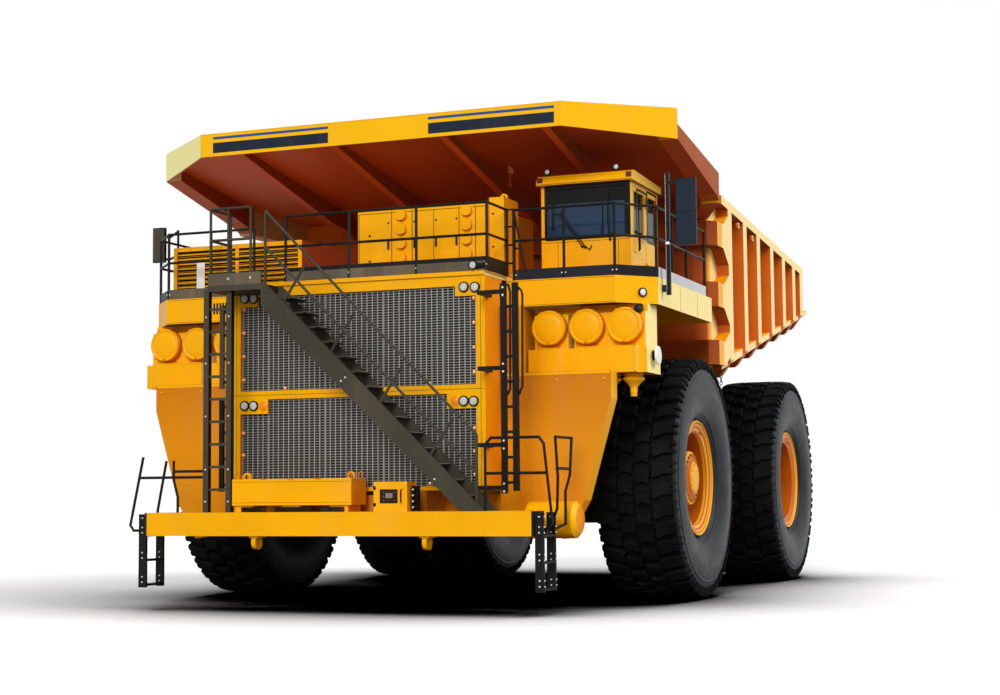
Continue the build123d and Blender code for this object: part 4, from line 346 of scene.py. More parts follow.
def make_materials():
    # Yellow: the darker orange sides and undersides are painted shade.
    paint("yellow", YELLOW, side=srgb(232, 140, 4), under=srgb(176, 96, 10))
    # Front uprights: the fade to darker orange towards the top is painted shade under the deck; lighter sides
    # are a painted highlight, darker undersides painted shade.
    paint("upright", srgb(232, 146, 6), side=srgb(240, 170, 20), under=srgb(150, 80, 10),
          along=("Z", 2.5, 4.1, srgb(190, 102, 14)))
    # Decks and air cleaners: cream sides are a painted highlight where the key light falls, darker undersides
    # painted shade.
    paint("sunlit", YELLOW, side=HIGHLIGHT_CREAM, under=srgb(150, 78, 12))
    # Retarder grid box: terracotta sides and darker undersides are painted shade.
    paint("grid", YELLOW, side=srgb(196, 98, 60), under=srgb(150, 78, 12))
    # Bumper: darker undersides are painted shade.
    paint("bumper", YELLOW, under=srgb(176, 96, 10), beyond=(3.095, srgb(16, 17, 18)))
    # Cab: paler sides are a painted highlight, darker undersides painted shade.
    paint("cab", YELLOW, side=srgb(252, 200, 78), under=srgb(150, 78, 12))
    # Deeper yellow: cream sides are a painted highlight.
    paint("deep", DEEP_YELLOW, worn=0.18, side=HIGHLIGHT_CREAM)
    # Dump body: its yellow paint darkened to orange as painted shade, with a painted highlight on sideways
    # faces, painted shade below and painted light on tops.
    paint("body", srgb(206, 100, 22), worn=0.16, gloss=0.42, side=srgb(254, 226, 158),
          under=srgb(120, 52, 22), top=DEEP_YELLOW)
    # Body front wall: darker than the body as painted shade under the deck and canopy, lighter orange towards
    # -X as painted light, with a painted highlight on sides and tops and painted shade below.
    paint("front_wall", srgb(168, 76, 22), worn=0.16, gloss=0.42, side=srgb(246, 176, 60),
          under=srgb(84, 36, 14), top=srgb(200, 104, 26), along=("X", -1.9, -3.2, srgb(236, 124, 30)))
    # Canopy: orange-brown as painted shade over its yellow paint, yellow past X 3; darker sides and undersides
    # are painted shade, lighter tops painted light, the pale -X tip a painted highlight, undersides lighter
    # towards -X painted reflected light, and lighter rib undersides painted highlights.
    paint("canopy", srgb(196, 88, 34), worn=0.16, gloss=0.5, side=srgb(158, 74, 28), under=srgb(166, 72, 36),
          top=DEEP_YELLOW, beyond=(3, srgb(244, 178, 0)), along=("X", -3.06, -3.12, srgb(255, 246, 170)),
          below=("X", 1.5, -3.2, srgb(222, 108, 58)), bars=(0.07, (0.95, 2.65), srgb(214, 100, 54)))
    paint("apron", srgb(252, 190, 6), worn=0.06, dust=0.05)
    paint("rim", srgb(246, 172, 20), worn=0.15, dust=0.1)
    # Wheels: darker orange than the rims' rings, as painted shade inside the rim barrels.
    paint("wheel", srgb(196, 100, 16), worn=0.2, dust=0.15)
    paint("rim_bolt", srgb(190, 120, 30), worn=0.3, dust=0.2)
    paint("orange", srgb(222, 120, 12), worn=0.15, dust=0.05)
    paint("brown", srgb(96, 42, 20), worn=0.2, dust=0.1)
    paint("frame", srgb(196, 120, 20), worn=0.3, gloss=0.5, dust=0.45)
    paint("black", srgb(12, 13, 14), worn=0.3, gloss=0.42, dust=0.03)
    paint("gloss_black", srgb(14, 15, 17), worn=0.2, gloss=0.16, dust=0.02)
    paint("navy_black", srgb(26, 30, 38), worn=0.2, gloss=0.36, dust=0.12)
    paint("kick", srgb(92, 82, 68), worn=0.2, gloss=0.5, dust=0.3)
    paint("groove", srgb(30, 20, 10), worn=0.3, gloss=0.8, dust=0.1)
    paint("louvre", srgb(206, 138, 30), worn=0.2, gloss=0.45, dust=0.2)
    paint("grey", srgb(150, 148, 140), worn=0.12, gloss=0.4)
    paint("white", srgb(236, 234, 226), worn=0.05, gloss=0.35, dust=0.08)
    paint("pale_grey", srgb(206, 208, 208), worn=0.1, gloss=0.4, dust=0.1)
    paint("olive", srgb(72, 68, 56), worn=0.15, gloss=0.4, side=srgb(20, 20, 20))
    paint("grating", srgb(66, 62, 51), worn=0.3, gloss=0.5, dust=0.08, side=srgb(14, 14, 14),
          under=srgb(12, 12, 12), top=srgb(20, 20, 19))
    rubber("tread", srgb(8, 8, 9), srgb(26, 27, 29))
    rubber("sidewall", srgb(10, 12, 14), srgb(34, 40, 46), 0.42, 0.14)
    paint("machine", srgb(58, 56, 52), worn=0.3, gloss=0.55, dust=0.5)
    steel("chrome", srgb(205, 208, 212), 0.12, 1, 0.05)
    steel("silver", srgb(214, 216, 218), 0.2, 0.9, 0.06)
    steel("bolt", srgb(226, 224, 214), 0.35, 0.25, 0.08)
    steel("core", srgb(8, 8, 9), 0.7, 0.2, 0.3)
    steel("wire", srgb(150, 147, 140), 0.42, 0.3, 0.1)
    steel("bright_wire", srgb(180, 177, 170), 0.38, 0.3, 0.08)
    paint("navy", srgb(22, 34, 50), worn=0.12, gloss=0.35, dust=0.04)
    paint("blue", srgb(44, 78, 140), worn=0.08, gloss=0.35, dust=0.04)
    # Windows: the sideways panes darker, as painted shade of the dark cab inside.
    glass("window", srgb(34, 58, 84), 0.8, side=srgb(16, 20, 24))
    glass("lens", srgb(236, 238, 232), 0.45)
    glass("amber", srgb(240, 130, 12), 0.92)
    glass("display", srgb(126, 112, 106), 0.95)
    rubber("trim", srgb(30, 30, 32), srgb(60, 60, 62), 0.7)
    rubber("lining", srgb(70, 72, 74), srgb(100, 102, 104), 0.8)


NODE_FINISH = {
    "bumper": "bumper",
    "yellow": "radiator_housing bumper_boxes tanks cabinets",
    "upright": "front_uprights",
    "sunlit": "decks air_cleaners",
    "grid": "grid_box",
    "cab": "cab_shell cab_roof cab_door",
    "body": "body_floor body_sides",
    "front_wall": "body_front_wall",
    "canopy": "canopy",
    "wheel": "front_wheel_left front_wheel_right rear_wheel_left rear_wheel_right",
    "frame": "frame front_struts rear_struts hoist_barrels hoist_stages "
             "steering_barrel_left steering_barrel_right",
    "black": "deck_rails boarding_ladders pipe_frame mirrors",
    "grating": "stair",
    "machine": "engine_block rear_axle knuckle_left knuckle_right tie_rod",
    "chrome": "steering_rod_left steering_rod_right hoist_rods",
    "core": "radiator_cores",
    "window": "cab_windows door_glass",
    "lens": "lamps",
    "trim": "cab_interior",
    "wire": "grilles",
    "tread": "front_tyre_left front_tyre_right rear_tyres_left rear_tyres_right",
}


def dress_nodes():
    for finish, names in NODE_FINISH.items():
        for name in names.split():
            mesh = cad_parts[name].data
            mesh.materials.clear()
            mesh.materials.append(MATERIALS[finish])


# Tyres
TYRE_RADIUS = 1.93
SIDEWALL = [
    (0.4, 0.802), (0.436, 0.832), (0.45, 0.93), (0.488, 0.962), (0.54, 1.012), (0.552, 1.03),
    (0.566, 1.034), (0.58, 1.062), (0.615, 1.14), (0.645, 1.25), (0.66, 1.37), (0.662, 1.47),
    (0.655, 1.57), (0.647, 1.634), (0.652, 1.642), (0.656, 1.656), (0.652, 1.67), (0.642, 1.678),
    (0.634, 1.74), (0.618, 1.795), (0.585, 1.832), (0.3, 1.842), (0, 1.845),
]
BELT = [(-0.628, 1.772), (-0.588, 1.836), (-0.3, 1.845), (0, 1.848), (0.3, 1.845), (0.588, 1.836),
        (0.628, 1.772), (0.56, 1.76), (-0.56, 1.76)]
PITCHES = 38
SHOULDER_BLOCK = [
    (0.612, -0.118), (0.612, -0.03), (0.56, -0.018), (0.56, 0.002), (0.612, 0.012), (0.612, 0.098),
    (0.455, 0.112), (0.3, 0.176), (0.272, 0.12), (0.3, 0.03), (0.262, -0.01), (0.3, -0.062),
    (0.42, -0.092),
]
MIDDLE_BLOCK = [
    (0.252, -0.105), (0.262, -0.02), (0.236, 0.03), (0.252, 0.098), (0.14, 0.062), (0.024, 0.1),
    (0.03, 0.018), (0.01, -0.02), (0.024, -0.088), (0.13, -0.062),
]
SHOULDER_TOOTH = [(-0.036, 1.8), (-0.04, 1.905), (0.036, 1.905), (0.032, 1.8), (0, 1.735)]


def on_tread(centre, x, turn, ray):
    """Place at a turn round a tyre, x across it and ray from its middle."""
    return (centre[0] + x, centre[1] + ray * math.sin(turn), centre[2] - ray * math.cos(turn))


def tread_block(kit, centre, outline, turn, base, crown):
    """Rubber block on the belt: outline is (x, distance round the tread) points."""
    middle_x, middle_t = (sum(values) / len(outline) for values in zip(*outline))
    rings = []
    for radius, scale in ((base, 1.07), (crown - 0.016, 1), (crown, 0.9)):
        ring = []
        for x, t in outline:
            x = middle_x + (x - middle_x) * scale
            t = middle_t + (t - middle_t) * scale
            droop = 0.03 * abs(x / 0.612) ** 5 if radius > base else 0
            ring.append(on_tread(centre, x, turn + t / TYRE_RADIUS, radius - droop))
        rings.append(ring)
    kit.skin(rings)


def shoulder_tooth(kit, centre, side, turn):
    """Small wedge on the shoulder below a block's outer end."""
    kit.skin([[on_tread(centre, side * (0.606 + (1.905 - radius) * 0.16 + lift), turn + t * scale / TYRE_RADIUS,
                        1.82 + (radius - 1.82) * scale) for t, radius in SHOULDER_TOOTH]
              for lift, scale in ((0, 1), (0.026, 0.72))])


def make_tyre(node, body, centres):
    carcass, tread = kits(2)
    profile = SIDEWALL + [(-x, radius) for x, radius in reversed(SIDEWALL[:-1])]
    for number, centre in enumerate(centres):
        carcass.turned(profile, centre, LEFT, 120, closed=True)
        tread.turned(BELT, centre, LEFT, 120, closed=True)
        for i in range(PITCHES):
            for side in SIDES:
                turn = (i + (0.5 if side < 0 else 0) + 0.23 * number) * 2 * math.pi / PITCHES
                for outline in (SHOULDER_BLOCK, MIDDLE_BLOCK):
                    shift = 0 if outline is SHOULDER_BLOCK else 0.16
                    mirrored = [(side * x, t + shift) for x, t in outline]
                    tread_block(tread, centre, mirrored, turn, 1.835, TYRE_RADIUS)
                for t in (-0.072, 0.058):
                    shoulder_tooth(tread, centre, side, turn + t / TYRE_RADIUS)
    wall = carcass.piece(node + "_carcass", "sidewall", "tyre", body, smooth=32)
    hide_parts(node)
    tread.piece(node + "_tread", "tread", "tyre", body, smooth=25)


def make_tyres():
    for side, name in SIDE_NAMES:
        front = (side * FRONT_TYRE_X, FRONT_AXLE_Y, AXLE_Z)
        make_tyre("front_tyre_" + name, "front_wheel_" + name, [front])
        rear = [(side * x, REAR_AXLE_Y, AXLE_Z) for x in REAR_TYRE_X]
        make_tyre("rear_tyres_" + name, "rear_wheels_" + name, rear)


# Wheel rings, hub covers and nuts on the CAD rims
def ring_of_bolts(kit, centre, out, radius, count, size, height=None, turn=0):
    for up, along in around(count, radius, turn):
        kit.bolt((centre[0], centre[1] + along, centre[2] + up), out, size, height)


RIM_PROFILE = [
    (0.44, 0.926), (0.506, 0.926), (0.519, 0.917), (0.521, 0.903), (0.508, 0.893), (0.492, 0.886),
    (0.488, 0.876), (0.497, 0.868), (0.502, 0.856), (0.497, 0.842), (0.478, 0.832), (0.47, 0.818),
    (0.472, 0.8), (0.466, 0.778), (0.448, 0.755), (0.43, 0.733), (0.4, 0.733), (0.4, 0.8),
]
# Disc's place outside the tyre's middle; hub profiles with their side counts; bolt circles as
# (place, radius, count, size, height, turn)
REAR_HUB = (
    -0.33,
    (([(-0.13, 0.47), (-0.105, 0.468), (-0.098, 0.455), (-0.1, 0.3)], 72),
     ([(-0.07, 0.335), (-0.046, 0.325), (-0.04, 0.3), (-0.04, 0)], 64)),
    ((-0.1, 0.437, 28, 0.034), (-0.04, 0.275, 16, 0.03)),
)
FRONT_HUB = (
    -0.24,
    (([(-0.18, 0.5), (-0.155, 0.497), (-0.15, 0.485), (-0.15, 0.42)], 72),
     ([(0.325, 0.435), (0.385, 0.43), (0.398, 0.418), (0.402, 0.395), (0.388, 0.38)], 72),
     ([(0.375, 0.432), (0.3835, 0.428), (0.3845, 0.279)], 72),
     ([(0.43, 0.262), (0.452, 0.258), (0.46, 0.245), (0.463, 0.2), (0.468, 0.12), (0.47, 0)], 64)),
    ((0.405, 0.372, 20, 0.032, 0.022, 0.5), (0.457, 0.228, 12, 0.024)),
)


def make_wheel_details():
    for side, name in SIDE_NAMES:
        out = (side, 0, 0)
        for axle_y, tyre_x, body, hub in (
            (FRONT_AXLE_Y, FRONT_TYRE_X, "front_wheel_" + name, FRONT_HUB),
            (REAR_AXLE_Y, REAR_TYRE_X[0], "rear_wheels_" + name, REAR_HUB),
        ):
            def place(outward, up=0, along=0):
                return (side * (tyre_x + outward), axle_y + along, AXLE_Z + up)

            rings, nuts, dark = kits(3)
            rings.turned(RIM_PROFILE, place(0), out, 112, closed=True)
            disc, profiles, circles = hub
            for profile, sides in profiles:
                rings.turned(profile, place(0), out, sides)
            for outward, *circle in (*circles, (disc, 0.632, 36, 0.042)):
                ring_of_bolts(nuts, place(outward), out, *circle)
            dark.turned([(disc + x, radius) for x, radius in
                         ((0.001, 0.705), (0.006, 0.705), (0.006, 0.69), (0.001, 0.69))],
                        place(0), out, 90, closed=True)
            for angle in (0.35, 0.35 + math.pi):
                up, along = math.cos(angle), math.sin(angle)
                dark.tube([place(0.41, 0.8 * up, 0.8 * along), place(0.47, 0.8 * up, 0.788 * along),
                           place(0.5, 0.74 * up, 0.74 * along)], 0.008, 8)
            rings.piece(body + "_rings", "rim", "wheel_paint", body, smooth=40)
            nuts.piece(body + "_nuts", "rim_bolt", "wheel_paint", body, smooth=30)
            dark.piece(body + "_seals", "black", "wheel_paint", body, smooth=30)


# Radiator front: grille mesh, clips, lamps
GRILLE_X = 1.96
GRILLE_Y = -6.2
GRILLE_COLUMNS = 45
RADIATOR_FACE_Y = -6.2255
GRILLE_Z = ((1.82, 3.17), (3.3, 4.75))


def make_grille():
    wires, columns, clips, heads = kits(4)
    y = GRILLE_Y
    for low, high in GRILLE_Z:
        count = round((high - low - 0.03) / 0.0385)
        for i in range(count):
            z = low + 0.02 + (high - low - 0.04) * i / (count - 1)
            wires.slabs(y + 0.016, y + 0.024, [(-GRILLE_X + 0.003, z - 0.004, GRILLE_X - 0.003, z + 0.004)])
        for i in range(GRILLE_COLUMNS):
            x = -GRILLE_X + 0.02 + (2 * GRILLE_X - 0.04) * i / (GRILLE_COLUMNS - 1)
            columns.slabs(y + 0.013, y + 0.024, [(x - 0.0035, low + 0.003, x + 0.0035, high - 0.003)])
            if i % 11 == 5:
                wires.slabs(y + 0.032, y + 0.05, [(x - 0.012, low + 0.003, x + 0.012, high - 0.003)])
        for side in SIDES:
            for i in range(4):
                z = low + (high - low) * (i + 0.5) / 4
                x = side * GRILLE_X
                clips.box((x, y, z - 0.03), (x - side * 0.07, y + 0.015, z + 0.03))
                heads.bolt((x - side * 0.045, y, z), AHEAD, 0.03)
        for x in (-1.2, 0, 1.2):
            clips.box((x - 0.03, y, low), (x + 0.03, y + 0.015, low + 0.06))
            heads.bolt((x, y, low + 0.042), AHEAD, 0.028)
    grille = wires.piece("grille_mesh", "wire", "grille_metal")
    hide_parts("grilles")
    columns.piece("grille_columns", "bright_wire", "grille_metal")
    clips.piece("grille_clips", "orange", bevel=0.002)
    heads.piece("grille_bolts", "bolt", "rod_chrome")
    seams = Kit()
    for x in (-2.03, 2.03):
        seams.box((x - 0.003, RADIATOR_FACE_Y - 0.0007, 1.8), (x + 0.003, RADIATOR_FACE_Y + 0.0007, 4.86))
    seams.box((-2.09, RADIATOR_FACE_Y - 0.0007, 3.231), (2.09, RADIATOR_FACE_Y + 0.0007, 3.237))
    seams.piece("radiator_seams", "groove")


CLEAR_LAMPS = [(1.774, 4.731), (1.948, 4.722), (-1.887, 4.732), (-1.729, 4.725),
               (-1.88, 3.079), (-1.723, 3.075), (1.761, 3.057), (1.919, 3.052)]
AMBER_LAMPS = [(-1.567, 3.071), (1.619, 3.061)]


def lamp(bezel, dish, lens, at, radius=0.063, depth=0.03, out=AHEAD):
    """Round lamp: black ring, bright dish and domed lens."""
    r = radius
    bezel.turned([(0, r + 0.002), (0, r + 0.016), (depth, r + 0.014), (depth + 0.006, r + 0.006),
                  (depth + 0.002, r - 0.001), (depth - 0.01, r - 0.001)], at, out, 32, closed=True)
    dish.turned([(0.002, 0.006), (0.002, r * 0.3), (depth - 0.012, r)], at, out, 28)
    dish.turned([(0.002, 0.018), (0.016, 0.016), (0.02, 0)], at, out, 16)
    lens.turned([(depth - 0.012, r), (depth - 0.004, r * 0.985), (depth + 0.004, r * 0.72),
                 (depth + 0.008, r * 0.36), (depth + 0.009, 0)], at, out, 32)


def make_lamps():
    bezel, dish, lens, amber, mount = kits(5)
    y = RADIATOR_FACE_Y
    for x, z in CLEAR_LAMPS:
        lamp(bezel, dish, lens, (x, y, z))
    for x, z in AMBER_LAMPS:
        amber.turned([(0, 0.062), (0.018, 0.06), (0.026, 0.045), (0.029, 0)], (x, y, z), AHEAD, 32)
        mount.turned([(0, 0.064), (0, 0.08), (0.012, 0.079), (0.016, 0.07), (0.012, 0.064)], (x, y, z),
                     AHEAD, 32, closed=True)
    lamp(bezel, dish, lens, (1.936, -6.262, 5.04), 0.055)
    mount.box((1.89, -6.262, 4.955), (1.98, -6.237, 5.09))
    lamp(bezel, dish, lens, (4.135, -5.029, 4.66), 0.055, out=(0.736, -0.677, 0))
    for x in (2.467, 3.588):
        lamp(bezel, dish, lens, (x, -4.475, 6.68), 0.04, 0.026)
        bezel.turned([(0, 0.046), (0.05, 0.04), (0.062, 0.02)], (x, -4.476, 6.68), BACK, 24)
        bezel.rod((x, -4.455, 6.619), (x, -4.455, 6.648), 0.012, 10)
    for x, z in ((1.86, 4.785), (-1.81, 4.785), (1.77, 2.98), (-1.72, 2.98)):
        mount.bolts([(x - 0.126, y, z), (x + 0.126, y, z)], 0.016)
    ring = bezel.piece("lamp_rings", "black", "lamp_glass", smooth=40)
    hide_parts("lamps")
    dish.piece("lamp_dishes", "silver", "rod_chrome", smooth=40)
    lens.piece("lamp_lenses", "lens", "lamp_glass", smooth=60)
    amber.piece("amber_lenses", "amber", "lamp_glass", smooth=50)
    mount.piece("lamp_mounts", "yellow", smooth=30)


# Canopy stripes and trim; the place between the stripe blocks stays bare
CANOPY_FACE_Y = -5.569


def make_canopy_trim():
    thin, band, edge, hook = kits(4)
    y = CANOPY_FACE_Y
    for x0, x1 in ((-2.858, -0.789), (0.923, 2.972)):
        thin.box((x0, y - 0.003, 7.428), (x1, y + 0.001, 7.47))
        band.box((x0, y - 0.003, 7.207), (x1, y + 0.001, 7.373))
    for x in (-3.0815, 3.0815):
        edge.box((x - 0.006, y - 0.004, 7.156), (x + 0.006, y + 0.004, 7.524))
    edge.box((-3.08, y - 0.004, 7.515), (3.08, y + 0.02, 7.5265))
    edge.plate([(x, y - 0.0005, z) for x, z in
                ((-3.08, 7.1535), (3.08, 7.1535), (3.08, 7.5265), (-3.08, 7.5265))], -0.0015)
    hook.box((1.3, -3.2, 6.98), (1.33, -2.98, 7.1))
    hook.tube([(1.315, y, z) for y, z in
               ((-3.1, 6.99), (-3.1, 6.86), (-3.14, 6.8), (-3.1, 6.76), (-3.05, 6.8))], 0.014, 8)
    thin.piece("apron_line", "blue", "body_paint", "dump_body", bevel=0.001)
    band.piece("apron_band", "navy", "body_paint", "dump_body", bevel=0.001)
    edge.piece("apron_face", "apron", "body_paint", "dump_body")
    hook.piece("canopy_hook", "body", "body_paint", "dump_body", bevel=0.003)


# Dump body: weld seams, lift eyes and the chain under the floor
BODY_FRONT_Y = -0.645
RIB_YS = (0.195, 1.325, 2.395, 3.545, 4.595, 5.555, 6.285)


def floor_low(y):
    return 3.74 + (y - BODY_FRONT_Y) * 0.22237


def side_top(y):
    return 6.78 - (y - BODY_FRONT_Y) * 0.0755


def make_body_trim():
    seams, eyes, chain = kits(3)
    for side in SIDES:
        x = side * 3.981
        for y in RIB_YS:
            for dy in (-0.139, 0.139):
                seams.box((x, y + dy - 0.006, floor_low(y) + 0.2),
                          (x + side * 0.01, y + dy + 0.006, side_top(y) - 0.12))
        for y in (0.76, 1.86):
            eyes.turned([(-0.02, 0.055), (0.024, 0.055), (0.024, 0.028), (-0.02, 0.028)],
                        (side * 4.2, y, side_top(y) - 0.21), (side, 0, 0), 20, closed=True)
    for z in (4.08, 5.08, 6.13):
        for dz in (-0.213, 0.213):
            seams.box((-3.7, BODY_FRONT_Y - 0.008, z + dz - 0.007),
                      (3.7, BODY_FRONT_Y + 0.001, z + dz + 0.007))
    seams.piece("body_welds", "body", "body_paint", "dump_body", bevel=0.003)
    eyes.piece("body_eyes", "body", "body_paint", "dump_body", smooth=40)
    for side in SIDES:
        x, y = side * 3.86, 0.7
        top = floor_low(y)
        for i in range(7):
            z = top - 0.03 - i * 0.062
            turn_x, turn_y = (0, 1) if i % 2 else (1, 0)
            link = [(x + turn_x * across * 2 / 3, y + turn_y * across * 2 / 3, z - down)
                    for across, down in around(8, 0.036)]
            chain.tube([*link, link[0]], 0.008, 6)
        chain.box((x - 0.012, y - 0.03, top - 0.02), (x + 0.012, y + 0.03, top + 0.012))
    chain.piece("body_chains", "black", "body_paint", "dump_body", smooth=50)


# Air cleaners: lids, clamp rings, latches, dust cups and the plates between them
CLEANER_FACE_Y = -5.265
CLEANER_Z = 4.165
PLATE_FACE_Y = -5.3152
CLEANER_XS = (2.74, 3.33, 3.92)
CUP_XS = (2.698, 3.255, 3.621, 3.978)


def make_cleaner_details():
    lids, rings, latches, cups, frames, disc, fitting = kits(7)
    y = CLEANER_FACE_Y
    for side in SIDES:
        for x in CLEANER_XS:
            at = (side * x, y, CLEANER_Z)
            lids.turned([(-0.012, 0.262), (0.01, 0.262), (0.021, 0.252), (0.023, 0.238), (0.014, 0.228),
                         (0.011, 0.215), (0.019, 0.2), (0.026, 0.15), (0.03, 0.08), (0.031, 0)],
                        at, AHEAD, 64)
            rings.turned([(-0.115, 0.264), (-0.115, 0.269), (-0.095, 0.273), (-0.045, 0.273),
                          (-0.03, 0.269), (-0.03, 0.264)], at, AHEAD, 64, closed=True)
            for turn in (0.5, 2.6, 3.8, 5.8):
                up, along = math.cos(turn), math.sin(turn)
                latches.plate([(at[0] + (0.264 + out) * along + slide * up, y + 0.041,
                                CLEANER_Z + (0.264 + out) * up - slide * along)
                               for slide, out in ((-0.018, -0.012), (0.018, -0.012), (0.018, 0.012),
                                                  (-0.018, 0.012))], 0.062)
            latches.box((at[0] - 0.022, y - 0.03, 3.912), (at[0] + 0.022, y + 0.02, 3.945))
        for x in CUP_XS:
            at = (side * x, -5.005, 3.462)
            cups.turned([(0, 0.136), (0.012, 0.142), (0.022, 0.136), (0.045, 0.134), (0.056, 0.15),
                         (0.07, 0.166), (0.086, 0.162), (0.12, 0.13), (0.165, 0.088), (0.2, 0.06),
                         (0.225, 0.053), (0.24, 0.056), (0.3, 0.05), (0.342, 0.046)], at, DOWN, 40)
            cups.bolts([(at[0] + dx, at[1] + dy, 3.442) for dy, dx in around(8, 0.146)], 0.018, DOWN)
        for near, far in ((2.579, 2.92), (3.199, 4.11)):
            x0, x1 = sorted((side * near, side * far))
            frames.slabs(PLATE_FACE_Y - 0.004, PLATE_FACE_Y + 0.002,
                         ((x0, 3.468, x1, 3.482), (x0, 3.848, x1, 3.862), (x0, 3.468, x0 + 0.014, 3.862),
                          (x1 - 0.014, 3.468, x1, 3.862)))
            frames.bolts(row((x0 + 0.045, x1 - 0.045), PLATE_FACE_Y, (3.508, 3.822)), 0.02)
        frames.bolts(row((side * 2.455, side * 3.06, side * 4.235), -5.2555, (3.52, 3.79)), 0.022)
    centre = (4.2625, -4.93, 3.72)
    disc.turned([(0.06, 0.136), (0.068, 0.142), (0.082, 0.142), (0.09, 0.134), (0.094, 0.07), (0.095, 0)],
                centre, LEFT, 48)
    disc.turned([(0.06, 0.136), (0.056, 0.06), (0.056, 0)], centre, LEFT, 48)
    fitting.turned([(0, 0.075), (0.012, 0.075), (0.016, 0.045), (0.04, 0.045), (0.046, 0.062),
                    (0.058, 0.062)], centre, LEFT, 32)
    fitting.bolts([(4.274, -4.93 + dy, 3.72 + dz) for dy, dz in around(6, 0.06)], 0.016, LEFT)
    fitting.turned([(0, 0.06), (0.05, 0.055), (0.09, 0.04), (0.095, 0)], (4.12, -5.2, 4.4), AHEAD, 24)
    fitting.box((4.07, -5.19, 4.36), (4.17, -5.1, 4.47))
    lids.piece("cleaner_lids", "yellow")
    rings.piece("cleaner_clamps", "orange")
    latches.piece("cleaner_latches", "orange", bevel=0.002)
    cups.piece("cleaner_cups", "yellow", smooth=40)
    frames.piece("cleaner_plate_frames", "yellow", smooth=30)
    disc.piece("side_disc", "white")
    fitting.piece("side_fitting", "black", "rail_paint")


# Cab: windscreen surround, wipers, side window frames, door handle, seams, roof trim
CAB_FACE_Y = -4.4555
CAB_SIDE_X = 3.8


def make_cab_details():
    surround, seams, wiper, handle, trim, roof = kits(6)
    y = CAB_FACE_Y
    surround.slabs(y - 0.006, y + 0.002, ((2.405, 6.395, 3.796, 6.458), (3.705, 5.64, 3.796, 6.4),
                                          (2.425, 5.6, 3.796, 5.645), (2.405, 5.64, 2.445, 6.4)))
    surround.box((2.445, -4.4385, 6.17), (3.705, -4.4355, 6.395))
    surround.box((3.335, -4.452, 5.645), (3.355, -4.4355, 6.395))
    surround.piece("screen_surround", "gloss_black", "cab_trim", bevel=0.002)
    for radius, points in (
        (0.009, ((3.02, 0.02, 5.48), (2.985, 0.045, 5.55), (2.63, 0.04, 6.02))),
        (0.009, ((3.07, 0.02, 5.47), (3.035, 0.045, 5.54), (2.66, 0.04, 6.05))),
        (0.009, ((3.47, 0.02, 5.57), (3.46, 0.045, 5.62), (3.44, 0.04, 6.12))),
        (0.007, ((2.545, 0.036, 6), (2.63, 0.04, 6.02))),
        (0.007, ((3.1, 0.01, 5.46), (3.135, 0.03, 5.43), (3.165, 0.03, 5.46), (3.17, 0.01, 5.5))),
    ):
        wiper.tube([(x, y - out, z) for x, out, z in points], radius, 8)
    wiper.slabs(y - 0.04, y - 0.028, ((2.535, 5.77, 2.552, 6.2), (3.432, 5.8, 3.446, 6.34)))
    for x, z in ((3.02, 5.48), (3.07, 5.47), (3.47, 5.57)):
        wiper.turned([(0, 0.022), (0.02, 0.02), (0.028, 0.01)], (x, y, z), AHEAD, 20)
    wiper.piece("wipers", "black", "cab_trim", smooth=40)
    seams.slabs(y - 0.001, y + 0.001, ((2.617, 4.98, 2.623, 5.56), (3.597, 4.98, 3.603, 5.56),
                                       (2.37, 5.565, 3.78, 5.571)))
    seams.box((CAB_SIDE_X, -3.64, 4.97), (CAB_SIDE_X + 0.0012, -3.634, 6.4))
    seams.box((2.3485, -4.3, 5.6), (2.3502, -3.1, 5.606))
    seams.piece("cab_seams", "groove")
    wide = 0.034
    for y0, y1, z0, z1, x, body in ((-4.277, -3.763, 5.64, 6.322, CAB_SIDE_X + 0.0505, "cab_door"),
                                    (-3.565, -3.095, 5.64, 6.4, CAB_SIDE_X + 0.0005, "chassis")):
        seal = Kit()
        for low, high in (((y0 - wide, z0 - wide), (y1 + wide, z0)), ((y0 - wide, z1), (y1 + wide, z1 + wide)),
                          ((y0 - wide, z0), (y0, z1)), ((y1, z0), (y1 + wide, z1))):
            seal.box((x - 0.006, *low), (x + 0.004, *high))
        seal.piece(body + "_window_seal", "gloss_black", "cab_trim", body, bevel=0.003)
    handle.tube([(3.848, -4.2, 5.42), (3.868, -4.205, 5.43), (3.868, -4.205, 5.6), (3.848, -4.2, 5.61)],
                0.011, 8)
    handle.box((3.846, -4.225, 5.39), (3.856, -4.175, 5.64))
    for z in (5.15, 6.2):
        handle.box((3.846, -3.8, z - 0.02), (3.854, -3.68, z + 0.08))
    handle.piece("door_handle", "black", "door_paint", "cab_door", bevel=0.002, smooth=40)
    trim.slabs(-4.5465, -4.5445, ((2.3015, 6.47, 3.8585, 6.48), (2.3015, 6.598, 3.8585, 6.606)))
    trim.slabs(-4.548, -4.5445, ((2.315, 6.5, 2.405, 6.585), (3.755, 6.5, 3.845, 6.585)))
    trim.piece("visor_trim", "brown", bevel=0.001)
    for x in (2.6, 3.08, 3.56):
        roof.box((x - 0.02, -4.4, 6.6195), (x + 0.02, -3.12, 6.632))
    roof.box((2.75, -3.75, 6.6195), (3.35, -3.3, 6.7))
    roof.piece("roof_ribs", "yellow", bevel=0.006)


# Cabinets and retarder box on the decks
CABINET_FACE_Y = -5.5055
GRID_X = (-3.9, -1.52)
GRID_FACE_Y = -5.055


